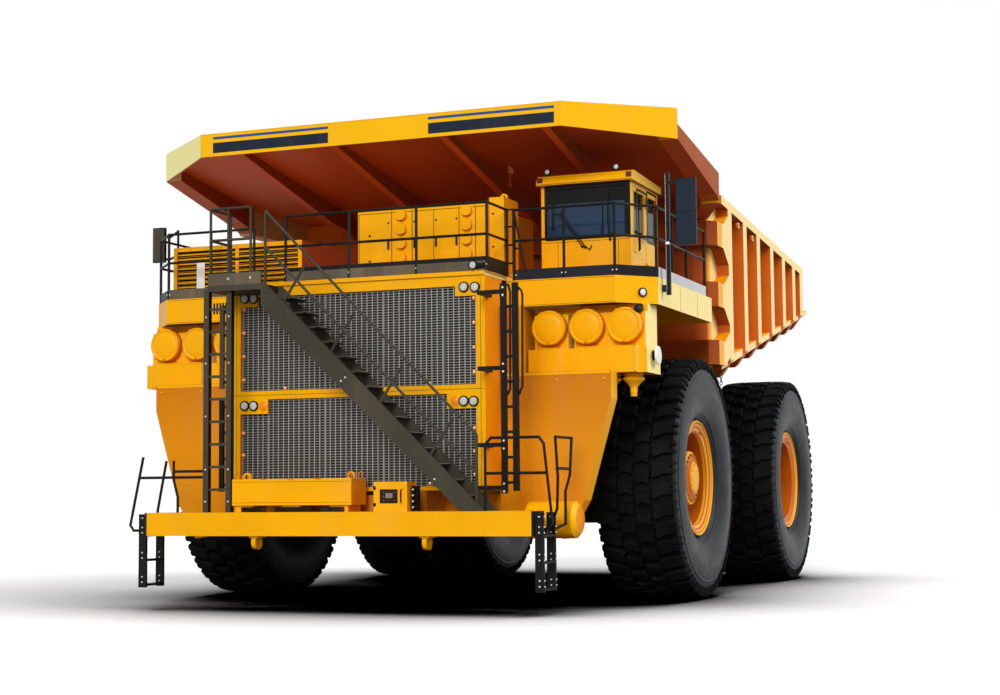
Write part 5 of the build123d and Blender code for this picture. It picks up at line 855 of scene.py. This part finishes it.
def make_deck_boxes():
    vents, dark, seams, handles = kits(4)
    y = CABINET_FACE_Y
    for at in row((0.445, 1.535), y, (5.11, 5.33, 5.55, 5.77, 5.99)):
        x, z = at[0], at[2]
        vents.turned([(0, 0.1), (0.01, 0.1), (0.017, 0.092), (0.012, 0.08), (0, 0.078)], at, AHEAD, 36,
                     closed=True)
        vents.turned([(0, 0.03), (0.014, 0.028), (0.018, 0)], at, AHEAD, 20)
        for dz in (-0.045, 0, 0.045):
            half = math.sqrt(0.076 ** 2 - dz ** 2)
            vents.box((x - half, y - 0.012, z + dz - 0.007), (x + half, y - 0.001, z + dz + 0.007))
        dark.turned([(0.0005, 0.079), (0.002, 0.078), (0.0022, 0)], at, AHEAD, 36)
    seams.slabs(y - 0.0015, y + 0.001, [(x - 0.004, 5, x + 0.004, 6.04)
                                        for x in (-0.28, 0.275, 0.62, 0.98, 1.4, 1.67)])
    seams.slabs(y - 0.0015, y + 0.001, ((-0.28, 6.036, 1.84, 6.044), (-0.28, 5, 1.84, 5.008)))
    for x in (0.22, 0.66, 1.02, 1.36):
        handles.box((x - 0.014, y - 0.02, 5.47), (x + 0.014, y - 0.001, 5.6))
        for z in (5.16, 5.88):
            handles.turned([(0, 0.016), (0.012, 0.014), (0.014, 0)], (x, y, z), AHEAD, 16)
    handles.bolts([(-0.1, y, 5.3), (-0.1, y, 5.7), (1.98, y - 0.06, 5.4), (1.98, y - 0.06, 5.9)], 0.03)
    vents.piece("cabinet_vents", "deep")
    dark.piece("cabinet_vent_holes", "groove")
    seams.piece("cabinet_seams", "groove")
    handles.piece("cabinet_handles", "black", "rail_paint", bevel=0.003)

    slats, trim, core, pale = kits(4)
    (left, right), y = GRID_X, GRID_FACE_Y
    for x0, x1 in ((left + 0.08, -2.745), (-2.675, right - 0.08)):
        for i in range(16):
            z = 5.055 + 0.041 * i
            slats.plate([(x0, y + 0.018, z), (x1, y + 0.018, z), (x1, y + 0.062, z + 0.012),
                         (x0, y + 0.062, z + 0.012)], 0.005)
    core.box((left + 0.075, y + 0.068, 5.035), (right - 0.075, y + 0.095, 5.715))
    for i in range(28):
        x = left + 0.1 + i * 0.0802
        core.box((x - 0.004, y + 0.063, 5.04), (x + 0.004, y + 0.069, 5.71))
    trim.bolts(row([left + 0.04 + i * 0.2875 for i in range(9)], y - 0.0005, (5, 5.75)), 0.022)
    trim.box((left + 0.3, y + 0.005, 5.7895), (left + 0.5, y + 0.15, 5.7905))
    for x in (left + 0.15, right - 0.15):
        trim.tube([(x + dx, -4.06, z) for dx, z in
                   ((-0.05, 5.788), (-0.05, 5.84), (0.05, 5.84), (0.05, 5.788))], 0.012, 8)
    pale.box((-3.46, y + 0.002, 5.06), (-3.31, y + 0.01, 5.56))
    pale.slabs(y + 0.001, y + 0.003, [(x - 0.013, 5.085 + i * 0.04, x + 0.013, 5.107 + i * 0.04)
                                      for i in range(12) for x in (-3.43, -3.385, -3.34)])
    core.piece("grid_core", "groove", "core_metal")
    slats.piece("grid_louvres", "louvre", "grille_metal")
    trim.piece("grid_trim", "deep", smooth=40)
    pale.piece("grid_post", "white", bevel=0.003)


# Levels of the decks, front faces as Y, and the stair's ends as (x, z)
DECK_Z = 4.9
WALKWAY_Z = 4.96
DECK_KICK_Y = -5.3475
WALKWAY_FACE_Y = -6.2375
SKIRT_FACE_Y = -5.365
UPRIGHT_FACE_Y = -5.6555
GUARD_FACE_Y = -6.5385
STAIR_FACE_Y = -6.9255
STAIR_FOOT = (2, 1.46)
STAIR_HEAD = (-1.217, 4.87)
STAIR_TREADS = 14


# Bumper end cap bolts, front boxes, guard brackets, and the bolts of the landing, stair and decks
BOX_FACE_Y = -6.855


def make_front_hardware():
    lines, bolts, eyes, dark, handle, display = kits(6)
    y = BOX_FACE_Y
    for side in SIDES:
        for cap_y in (-6.983, -6.507):
            for z in (0.42, 0.5, 0.78, 0.86, 1.16, 1.24, 1.38):
                bolts.bolt((side * 3.195, cap_y - 0.0225, z), AHEAD, 0.02)
                bolts.bolt((side * 3.261, cap_y, z), (side, 0, 0), 0.02)
    for x in (-1.675, 0.18):
        for eye_y in (-6.8, -6.42):
            eyes.tube([(x + dx, eye_y, z) for dx, z in
                       ((-0.03, 1.948), (-0.03, 2.02), (0, 2.045), (0.03, 2.02), (0.03, 1.948))], 0.009, 8)
    for z in (1.6, 1.905):
        lines.box((-1.72, y - 0.0012, z - 0.002), (0.225, y + 0.0005, z + 0.002))
    for x0, x1 in ((-1.58, -1.16), (-1.02, -0.42), (-0.28, 0.12)):
        dark.box((x0, y - 0.0012, 1.466), (x1, y + 0.005, 1.535))
    for x in (-1.2, -0.75, -0.3):
        eyes.box((x - 0.04, y - 0.02, 1.945), (x + 0.04, y + 0.01, 1.9595))
    for x0, z0, x1, z1 in ((0.7, 1.58, 0.98, 1.6), (0.7, 1.76, 0.98, 1.78),
                           (0.7, 1.6, 0.72, 1.76), (0.96, 1.6, 0.98, 1.76)):
        handle.box((x0, y - 0.009, z0), (x1, y + 0.002, z1))
    dark.box((0.72, y - 0.0015, 1.6), (0.96, y + 0.001, 1.76))
    display.box((0.79, y - 0.0025, 1.655), (0.9, y - 0.001, 1.725))
    for at in row((0.755, 0.935), y + 0.0005, (1.62, 1.68, 1.74)):
        display.turned([(0, 0.008), (0.003, 0.007), (0.004, 0)], at, AHEAD, 12)
    handle.tube([(1.04, y + 0.002, 1.585), (1.04, y - 0.028, 1.6), (1.04, y - 0.028, 1.765),
                 (1.04, y + 0.002, 1.78)], 0.009, 8)
    for z in (1.56, 1.8):
        handle.box((0.595, y - 0.007, z - 0.025), (0.635, y + 0.003, z + 0.025))
    bolts.bolts(row((0.625, 1.105), y, (1.485, 1.865)), 0.016)
    for k in range(4):
        z = 1.52 + 0.085 * k
        handle.turned([(0, 0.034), (0.05, 0.034), (0.06, 0.022), (0.062, 0)], (1.178, -6.7, z), AHEAD, 20)
        bolts.turned([(0, 0.014), (0.006, 0.012), (0.007, 0)], (1.178, -6.762, z), AHEAD, 12)
    handle.box((1.13, -6.7, 1.47), (1.225, -6.6, 1.83))
    lines.piece("box_lid_lines", "groove")
    eyes.piece("box_eyes", "orange", smooth=40)
    dark.piece("box_openings", "groove")
    handle.piece("box_handles", "black", "rail_paint", bevel=0.002, smooth=40)
    display.piece("box_display", "display", "window_glass", bevel=0.001)

    guard = Kit()
    for z in (1.79, 2.4, 3.5, 4.6):
        guard.box((2.455, GUARD_FACE_Y, z - 0.085), (2.56, GUARD_FACE_Y + 0.004, z + 0.085))
        bolts.bolts(row((2.5,), GUARD_FACE_Y, (z - 0.055, z + 0.055)), 0.026)
    guard.piece("guard_brackets", "black", "rail_paint", bevel=0.003)

    for z in (1.62, 2.1, 2.9, 3.7, 4.4):
        bolts.bolts(row((-2.19, -1.8), -6.8655, (z,)), 0.022)
    bolts.bolts(row((-1.78, -1.4), STAIR_FACE_Y + 0.0002, (4.96,)), 0.026)
    slope = (STAIR_HEAD[1] - STAIR_FOOT[1]) / (STAIR_HEAD[0] - STAIR_FOOT[0])
    for x in (1.55, 0.14):
        z = STAIR_FOOT[1] + (x - STAIR_FOOT[0]) * slope - 0.05
        bolts.bolts([(x - 0.03, STAIR_FACE_Y, z - 0.02), (x + 0.04, STAIR_FACE_Y, z + 0.03)], 0.022)
    for x in (2.23, 3.02, 3.813, -3.813, -3.02, -2.23):
        bolts.bolts(row((x - 0.03, x + 0.03), DECK_KICK_Y, (4.98,)), 0.018)
    bolts.bolts(row((-1.18, -0.1, 1.01, 2.14), WALKWAY_FACE_Y, (5.05,)), 0.02)
    bolts.piece("front_bolts", "bolt", "rod_chrome", smooth=30)


def make_kick_plates():
    dark, pale = kits(2)
    for side, kit in ((1, dark), (-1, pale)):
        for near, far in ((2.235, 2.755), (2.759, 3.276), (3.28, 3.8)):
            kit.slabs(DECK_KICK_Y - 0.0015, DECK_KICK_Y + 0.0003,
                      [(side * near, DECK_Z + 0.001, side * far, 5.06)])
    pale.box((-1.17, WALKWAY_FACE_Y - 0.001, WALKWAY_Z + 0.0005), (2.13, WALKWAY_FACE_Y + 0.0004, 5.108))
    pale.box((-2.128, STAIR_FACE_Y - 0.0007, 4.867), (-1.219, STAIR_FACE_Y + 0.0003, 5.047))
    dark.piece("side_kick_faces", "navy_black", "rail_paint", bevel=0.0008)
    # Kick plates facing +X, pale grey as a painted highlight where the key light falls.
    sunny = Kit()
    for y0, y1 in ((-4.78, -3.86), (-3.855, -2.94), (-2.935, -2.02)):
        sunny.box((4.3192, y0, DECK_Z + 0.001), (4.3204, y1, 5.06))
        sunny.bolts([(4.3204, y0 + 0.05, 4.98), (4.3204, y1 - 0.05, 4.98)], 0.016, LEFT)
    sunny.piece("side_kick_face", "pale_grey", "rail_paint", bevel=0.0005)
    pale.piece("walkway_kick_faces", "kick", "rail_paint", bevel=0.0008)


# Deck coverings, skirt seams and slots, trim on the front uprights
def grip_marks(kit, xs, ys, z):
    """Short slanted bars, leaning one way and the other by turns."""
    for ix, x in enumerate(xs):
        for iy, y in enumerate(ys):
            if abs(x) > 3.8 and y < -4.8:
                continue
            lean = 0.022 if (ix + iy) % 2 else -0.022
            kit.plate([(x - 0.026, y - lean - 0.005, z), (x + 0.026, y + lean - 0.005, z),
                       (x + 0.026, y + lean + 0.005, z), (x - 0.026, y - lean + 0.005, z)], 0.003)


def make_deck_trim():
    grip, seams, slot, trim = kits(4)
    for side in SIDES:
        grip_marks(grip, [side * (2.2 + 0.15 * i) for i in range(14)], [-5.22 + 0.16 * i for i in range(22)],
                   DECK_Z + 0.0002)
        for y in (-3.6, -2.6):
            seams.box((side * 4.3255, y - 0.004, 4.5), (side * 4.3275, y + 0.004, 4.89))
        for z in (4.513, 4.882):
            seams.slabs(SKIRT_FACE_Y - 0.001, SKIRT_FACE_Y + 0.0002,
                        [(side * 2.103, z - 0.0025, side * 3.822, z + 0.0025)])
    for k in range(9):
        x = -2.5 - 0.055 * k
        slot.box((x - 0.017, SKIRT_FACE_Y - 0.0015, 4.62), (x + 0.017, SKIRT_FACE_Y + 0.0002, 4.8))
    grip_marks(grip, [-1.95 + 0.17 * i for i in range(24)], [-6.17 + 0.15 * i for i in range(4)],
               WALKWAY_Z + 0.0002)
    grip.piece("deck_grip", "deep")
    seams.piece("skirt_seams", "groove")
    slot.piece("skirt_slots", "groove")
    for side in SIDES:
        for x, z in ((2.2, 3.4), (2.2, 2.2), (3, 3.36), (3.72, 3.36), (2.6, 1.25), (3.2, 1.9)):
            trim.bolt((side * x, UPRIGHT_FACE_Y, z), AHEAD, 0.032)
        trim.box((side * 2.115, UPRIGHT_FACE_Y - 0.003, 3.435), (side * 3.815, UPRIGHT_FACE_Y + 0.001, 3.475))
    trim.piece("upright_trim", "yellow", bevel=0.002)


def make_stair_trim():
    """A pale nosing along the lower edge of each stair tread, and rows of grip studs."""
    noses, studs = kits(2)
    for step in range(1, STAIR_TREADS + 1):
        share = step / (STAIR_TREADS + 1)
        x = STAIR_FOOT[0] + (STAIR_HEAD[0] - STAIR_FOOT[0]) * share + 0.26
        z = STAIR_FOOT[1] + (STAIR_HEAD[1] - STAIR_FOOT[1]) * share
        noses.box((x - 0.03, -6.86, z - 0.002), (x + 0.003, -6.42, z + 0.004))
        for at in [(x - 0.07 - 0.045 * i, -6.83 + 0.063 * k, z) for i in range(4) for k in range(7)]:
            studs.turned([(0, 0.008), (0.004, 0.005)], at, UP, 6)
    noses.piece("stair_noses", "grey", "stair_metal", bevel=0.001)
    studs.piece("stair_studs", "black", "stair_metal")


def make_front_tubes():
    """Hand tubes beside the guard, the gate on the cab deck and the frame on the right of the radiator."""
    tubes, olive = kits(2)
    y = -6.498
    tubes.tube([(2.47, y, 4.64), (2.53, y - 0.025, 4.7), (2.585, y - 0.025, 4.69),
                (2.612, y - 0.025, 4.59), (2.6, y - 0.025, 3.19), (2.56, y - 0.025, 3.115),
                (2.5, y, 3.112)], 0.016, 10)
    tubes.tube([(x, y, z) for x, z in ((2.68, 4.56), (2.735, 4.64), (2.775, 4.6), (2.79, 4.54),
                                       (2.778, 3.23), (2.735, 3.13), (2.68, 3.1))], 0.016, 10)
    y = -5.345
    tubes.rod((2.235, y, 5.94), (2.405, y, 5.06), 0.018, 10)
    for z in (5.79, 5.39):
        tubes.rod((2.235, y, z), (2.235 + (5.94 - z) * 0.19, y, z - 0.01), 0.014, 8)
    y = -5.365
    for x in (2.052, 2.228):
        tubes.rod((x, y, 4.9), (x, y, 5.99), 0.018, 10)
    for z in (5.16, 5.44, 5.72, 5.98):
        tubes.rod((2.052, y, z), (2.228, y, z), 0.014, 8)
    for low, high, kit in ((3.35, 4.64, olive), (1.77, 3.17, tubes)):
        kit.box((-2.275, -6.33, low), (-2.205, -6.27, high))
        for i in range(4):
            z = low + 0.1 + (high - low - 0.2) * i / 3
            tubes.box((-2.21, -6.32, z - 0.022), (-2.095, -6.2, z + 0.022))
    tubes.rod((1.985, -6.262, 5.035), (2.115, -6.262, 5.035), 0.034, 16)
    tubes.piece("front_tubes", "black", "rail_paint", smooth=40)
    olive.piece("left_frame", "kick", "rail_paint", bevel=0.006)


MIRROR_Y = -4.605
SMALL_MIRROR_Y = (-4.1702, -4.0998)


def make_mirrors():
    faces, rim, pole, panel, small = kits(5)
    y = MIRROR_Y
    faces.box((4.58, y + 0.0305, 5.41), (4.85, y + 0.0335, 6.38))
    rim.slabs(y - 0.0335, y - 0.0295, ((4.561, 5.39, 4.869, 5.396), (4.561, 5.889, 4.869, 5.901),
                                       (4.561, 6.388, 4.869, 6.4), (4.5615, 5.391, 4.567, 6.399),
                                       (4.864, 5.391, 4.8695, 6.399)))
    # A thin silver strip down the pole's edge is a painted highlight.
    pole.box((4.4005, y - 0.0362, 4.7), (4.4045, y - 0.0348, 6.48))
    pole.box((4.395, y - 0.04, 5.41), (4.458, y - 0.03, 5.45))
    panel.box((4.5601, y - 0.0302, 5.3902), (4.8698, y + 0.0302, 6.3998))
    panel.bolts(row((4.585, 4.845), y - 0.0302, (5.42, 5.87, 5.92, 6.37)), 0.009)
    front, back = SMALL_MIRROR_Y
    faces.box((-4.858, back + 0.0003, 5.725), (-4.652, back + 0.0028, 6.295))
    rim.slabs(front - 0.0013, front + 0.0007, ((-4.869, 5.711, -4.641, 5.725), (-4.869, 6.295, -4.641, 6.309)))
    pole.tube([(-4.3, -4.8, 5.45), (-4.42, -4.6, 5.62), (-4.6, -4.25, 5.67), (-4.66, -4.15, 5.72)],
              0.018, 10)
    small.box((-4.8698, front, 5.7102), (-4.6402, back, 6.3098))
    small.bolts(row((-4.84, -4.67), front, (5.76, 6.26)), 0.012)
    small.slabs(front - 0.0058, front + 0.0002,
                [(-4.82, z - 0.012, -4.69, z + 0.012) for z in (5.9, 6.01, 6.12)])
    faces.piece("mirror_faces", "silver", "rod_chrome", bevel=0.001)
    rim.piece("mirror_rims", "black", "mirror_housing", bevel=0.001)
    pole.piece("mirror_pole_highlight_clamp_and_arm", "silver", "mirror_housing", bevel=0.002)
    panel.piece("mirror_panel", "navy", "mirror_housing", bevel=0.001)
    small.piece("small_mirror_case", "olive", "mirror_housing", bevel=0.003)


# Cab interior hints beyond the CAD seat and dash
def make_cab_interior():
    kit, wall = kits(2)
    kit.box((2.93, -3.46, 6), (3.07, -3.38, 6.16))
    for x in (2.7, 3.3):
        kit.box((x - 0.035, -3.75, 5.58), (x + 0.035, -3.42, 5.63))
    kit.box((2.5, -4.38, 5.5), (2.62, -4.28, 5.74))
    kit.turned([(0, 0.05), (0.02, 0.055), (0.03, 0.04), (0.032, 0)], (2.72, -4.3, 5.66), (0, 1, 0.3), 24)
    kit.piece("cab_fittings", "trim", "cab_trim", bevel=0.008)
    for x in (2.631, 3.075, 3.519):
        wall.box((x - 0.219, -3.0675, 4.97), (x + 0.219, -3.0655, 6.455))
        wall.bolts(row((x,), -3.0675, (5.1, 6.3)), 0.014)
    wall.piece("cab_lining", "lining", "cab_trim")


# Undercarriage: strut bands and nuts
def band(kit, at, axis, radius, thickness, width, sides=48):
    """Flat ring round a cylinder."""
    outer = radius + thickness
    kit.turned([(0, radius), (0, outer), (width, outer), (width, radius)], at, axis, sides, closed=True)


def make_underbody():
    bands, nuts = kits(2)
    for side in SIDES:
        x = side * 2.45
        band(bands, (x, FRONT_AXLE_Y, 2.46), UP, 0.302, 0.028, 0.05)
        band(bands, (x, FRONT_AXLE_Y, 3.3), UP, 0.302, 0.02, 0.035)
        nuts.bolts([(x + dx, FRONT_AXLE_Y + dy, 2.51) for dx, dy in around(16, 0.315, 0.5)], 0.024, UP)
        nuts.bolts([(side * 2.199, y, z) for y in (0.3, 0.8) for z in (2, 2.4, 2.8)], 0.036, (side, 0, 0))
    bands.piece("strut_bands", "frame", "cylinder_paint")
    nuts.piece("strut_nuts", "rim_bolt", "rod_chrome", smooth=30)


# Body pivots as (Y, Z), and the hoists' feet and the line that they stand along
PIVOT_Y, PIVOT_Z = 5.86, 3.9
PIVOT_LUGS = ((0.78, -1), (1.22, 1))
HOIST_FOOT_X = 1.345
HOIST_FOOT_YZ = (1.595, 1.56)
HOIST_LINE = (0, -0.254493, 0.967075)


def make_pins():
    """Pin caps at the body pivots and gland rings on the hoist barrels."""
    caps, bolts, glands = kits(3)
    for side in SIDES:
        for x, outwards in PIVOT_LUGS:
            out = (side * outwards, 0, 0)
            caps.turned([(-0.002, 0.15), (0.014, 0.15), (0.022, 0.14), (0.022, 0.07), (0.03, 0.062),
                         (0.03, 0)], (side * x, PIVOT_Y, PIVOT_Z), out, 32)
            bolts.bolts([(side * (x + outwards * 0.021), PIVOT_Y + dy, PIVOT_Z + dz)
                         for dy, dz in around(8, 0.108, 0.5)], 0.03, out)
        for distance, rise, width in ((0.3, 0.012, 0.05), (1.05, 0.008, 0.03), (1.82, 0.018, 0.09)):
            at = Vector((side * HOIST_FOOT_X, *HOIST_FOOT_YZ)) + Vector(HOIST_LINE) * distance
            band(glands, at, HOIST_LINE, 0.1695, rise, width, 40)
    caps.piece("pivot_caps", "body", "body_paint", "dump_body")
    bolts.piece("pivot_bolts", "rim_bolt", "body_paint", "dump_body", smooth=30)
    glands.piece("hoist_glands", "frame", "cylinder_paint", "hoist_barrels")


def make_pieces():
    for make in (make_tyres, make_wheel_details, make_grille, make_lamps, make_canopy_trim, make_body_trim,
                 make_cleaner_details, make_cab_details, make_deck_boxes, make_front_hardware,
                 make_kick_plates, make_deck_trim, make_stair_trim, make_front_tubes, make_mirrors,
                 make_cab_interior, make_underbody, make_pins):
        make()


# Camera, light and floor
CAMERA_PLACE = (11.548, -29.784, 1.696)
CAMERA_YAW = math.radians(21.363)
CAMERA_PITCH = math.radians(4.796)
CAMERA_ROLL = math.radians(0.488)
FOCAL_PIXELS = 1748.6
PHOTO_WIDTH = 1000


def make_camera():
    data = bpy.data.cameras.new("camera")
    data.sensor_fit = "HORIZONTAL"
    data.sensor_width = 36
    data.lens = FOCAL_PIXELS * data.sensor_width / PHOTO_WIDTH
    data.clip_end = 500
    ahead = Vector((-math.sin(CAMERA_YAW) * math.cos(CAMERA_PITCH),
                    math.cos(CAMERA_YAW) * math.cos(CAMERA_PITCH), math.sin(CAMERA_PITCH)))
    level = Vector((math.cos(CAMERA_YAW), math.sin(CAMERA_YAW), 0))
    above = level.cross(ahead)
    right = level * math.cos(CAMERA_ROLL) - above * math.sin(CAMERA_ROLL)
    up = level * math.sin(CAMERA_ROLL) + above * math.cos(CAMERA_ROLL)
    turn = Matrix((right, up, -ahead)).transposed().to_4x4()
    obj = bpy.data.objects.new("camera", data)
    obj.matrix_world = Matrix.Translation(CAMERA_PLACE) @ turn
    bpy.context.scene.collection.objects.link(obj)
    bpy.context.scene.camera = obj


def sun(name, towards, strength, angle, color=(1, 1, 1)):
    data = bpy.data.lights.new(name, "SUN")
    data.energy = strength
    data.angle = math.radians(angle)
    data.color = color
    obj = bpy.data.objects.new(name, data)
    obj.rotation_euler = Vector(towards).to_track_quat("-Z", "Y").to_euler()
    bpy.context.scene.collection.objects.link(obj)


def show_by_ray(tree, unseen, seen, output):
    """Shows one shader to camera, glossy and transmission rays, another to the rays that light the truck."""
    path = tree.nodes.new("ShaderNodeLightPath")
    total = path.outputs["Is Camera Ray"]
    for name in ("Is Glossy Ray", "Is Transmission Ray"):
        join = tree.nodes.new("ShaderNodeMath")
        join.operation = "MAXIMUM"
        tree.links.new(total, join.inputs[0])
        tree.links.new(path.outputs[name], join.inputs[1])
        total = join.outputs[0]
    pick = tree.nodes.new("ShaderNodeMixShader")
    for source, socket in zip((total, unseen.outputs[0], seen.outputs[0]), pick.inputs):
        tree.links.new(source, socket)
    tree.links.new(pick.outputs[0], tree.nodes[output].inputs["Surface"])


AMBIENT = 0.3
FLOOR_HALF = 110


def make_world():
    world = bpy.data.worlds.new("studio")
    bpy.context.scene.world = world
    world.use_nodes = True
    nodes = world.node_tree.nodes
    plain, white = nodes["Background"], nodes.new("ShaderNodeBackground")
    for background, strength in ((plain, AMBIENT), (white, 1)):
        background.inputs["Strength"].default_value = strength
        background.inputs["Color"].default_value = WHITE
    show_by_ray(world.node_tree, plain, white, "World Output")


def make_floor():
    """White floor with a soft shadow where the truck stands close to it."""
    m = Material("floor", 0.9)
    near = m.node("AmbientOcclusion", Distance=5)
    tone = m.ramp(near.outputs["AO"], [(0.5, BLACK), (0.97, WHITE)])
    m.set(Base_Color=tone, Specular_IOR_Level=0)
    glow = m.node("Emission", Color=tone, Strength=0.16)
    lift = m.node("AddShader")
    m.feed(lift.inputs[0], m.shader.outputs[0])
    m.feed(lift.inputs[1], glow.outputs[0])
    show_by_ray(m.tree, m.node("BsdfDiffuse", Color=(0.3, 0.28, 0.26, 1)), lift, "Material Output")
    mesh = bpy.data.meshes.new("floor")
    corners = [(FLOOR_HALF * x, FLOOR_HALF * y, 0) for x, y in ((-1, -1), (1, -1), (1, 1), (-1, 1))]
    mesh.from_pydata(corners, [], [(0, 1, 2, 3)])
    mesh.materials.append(m.mat)
    obj = bpy.data.objects.new("floor", mesh)
    bpy.context.scene.collection.objects.link(obj)


make_materials()
dress_nodes()
make_pieces()
make_camera()
make_world()
make_floor()
sun("key", (-0.8, -0.14, -0.58), 2.2, 45)
sun("front", (-0.12, 0.9, -0.42), 2.3, 30)
bpy.context.scene.view_settings.view_transform = "Standard"
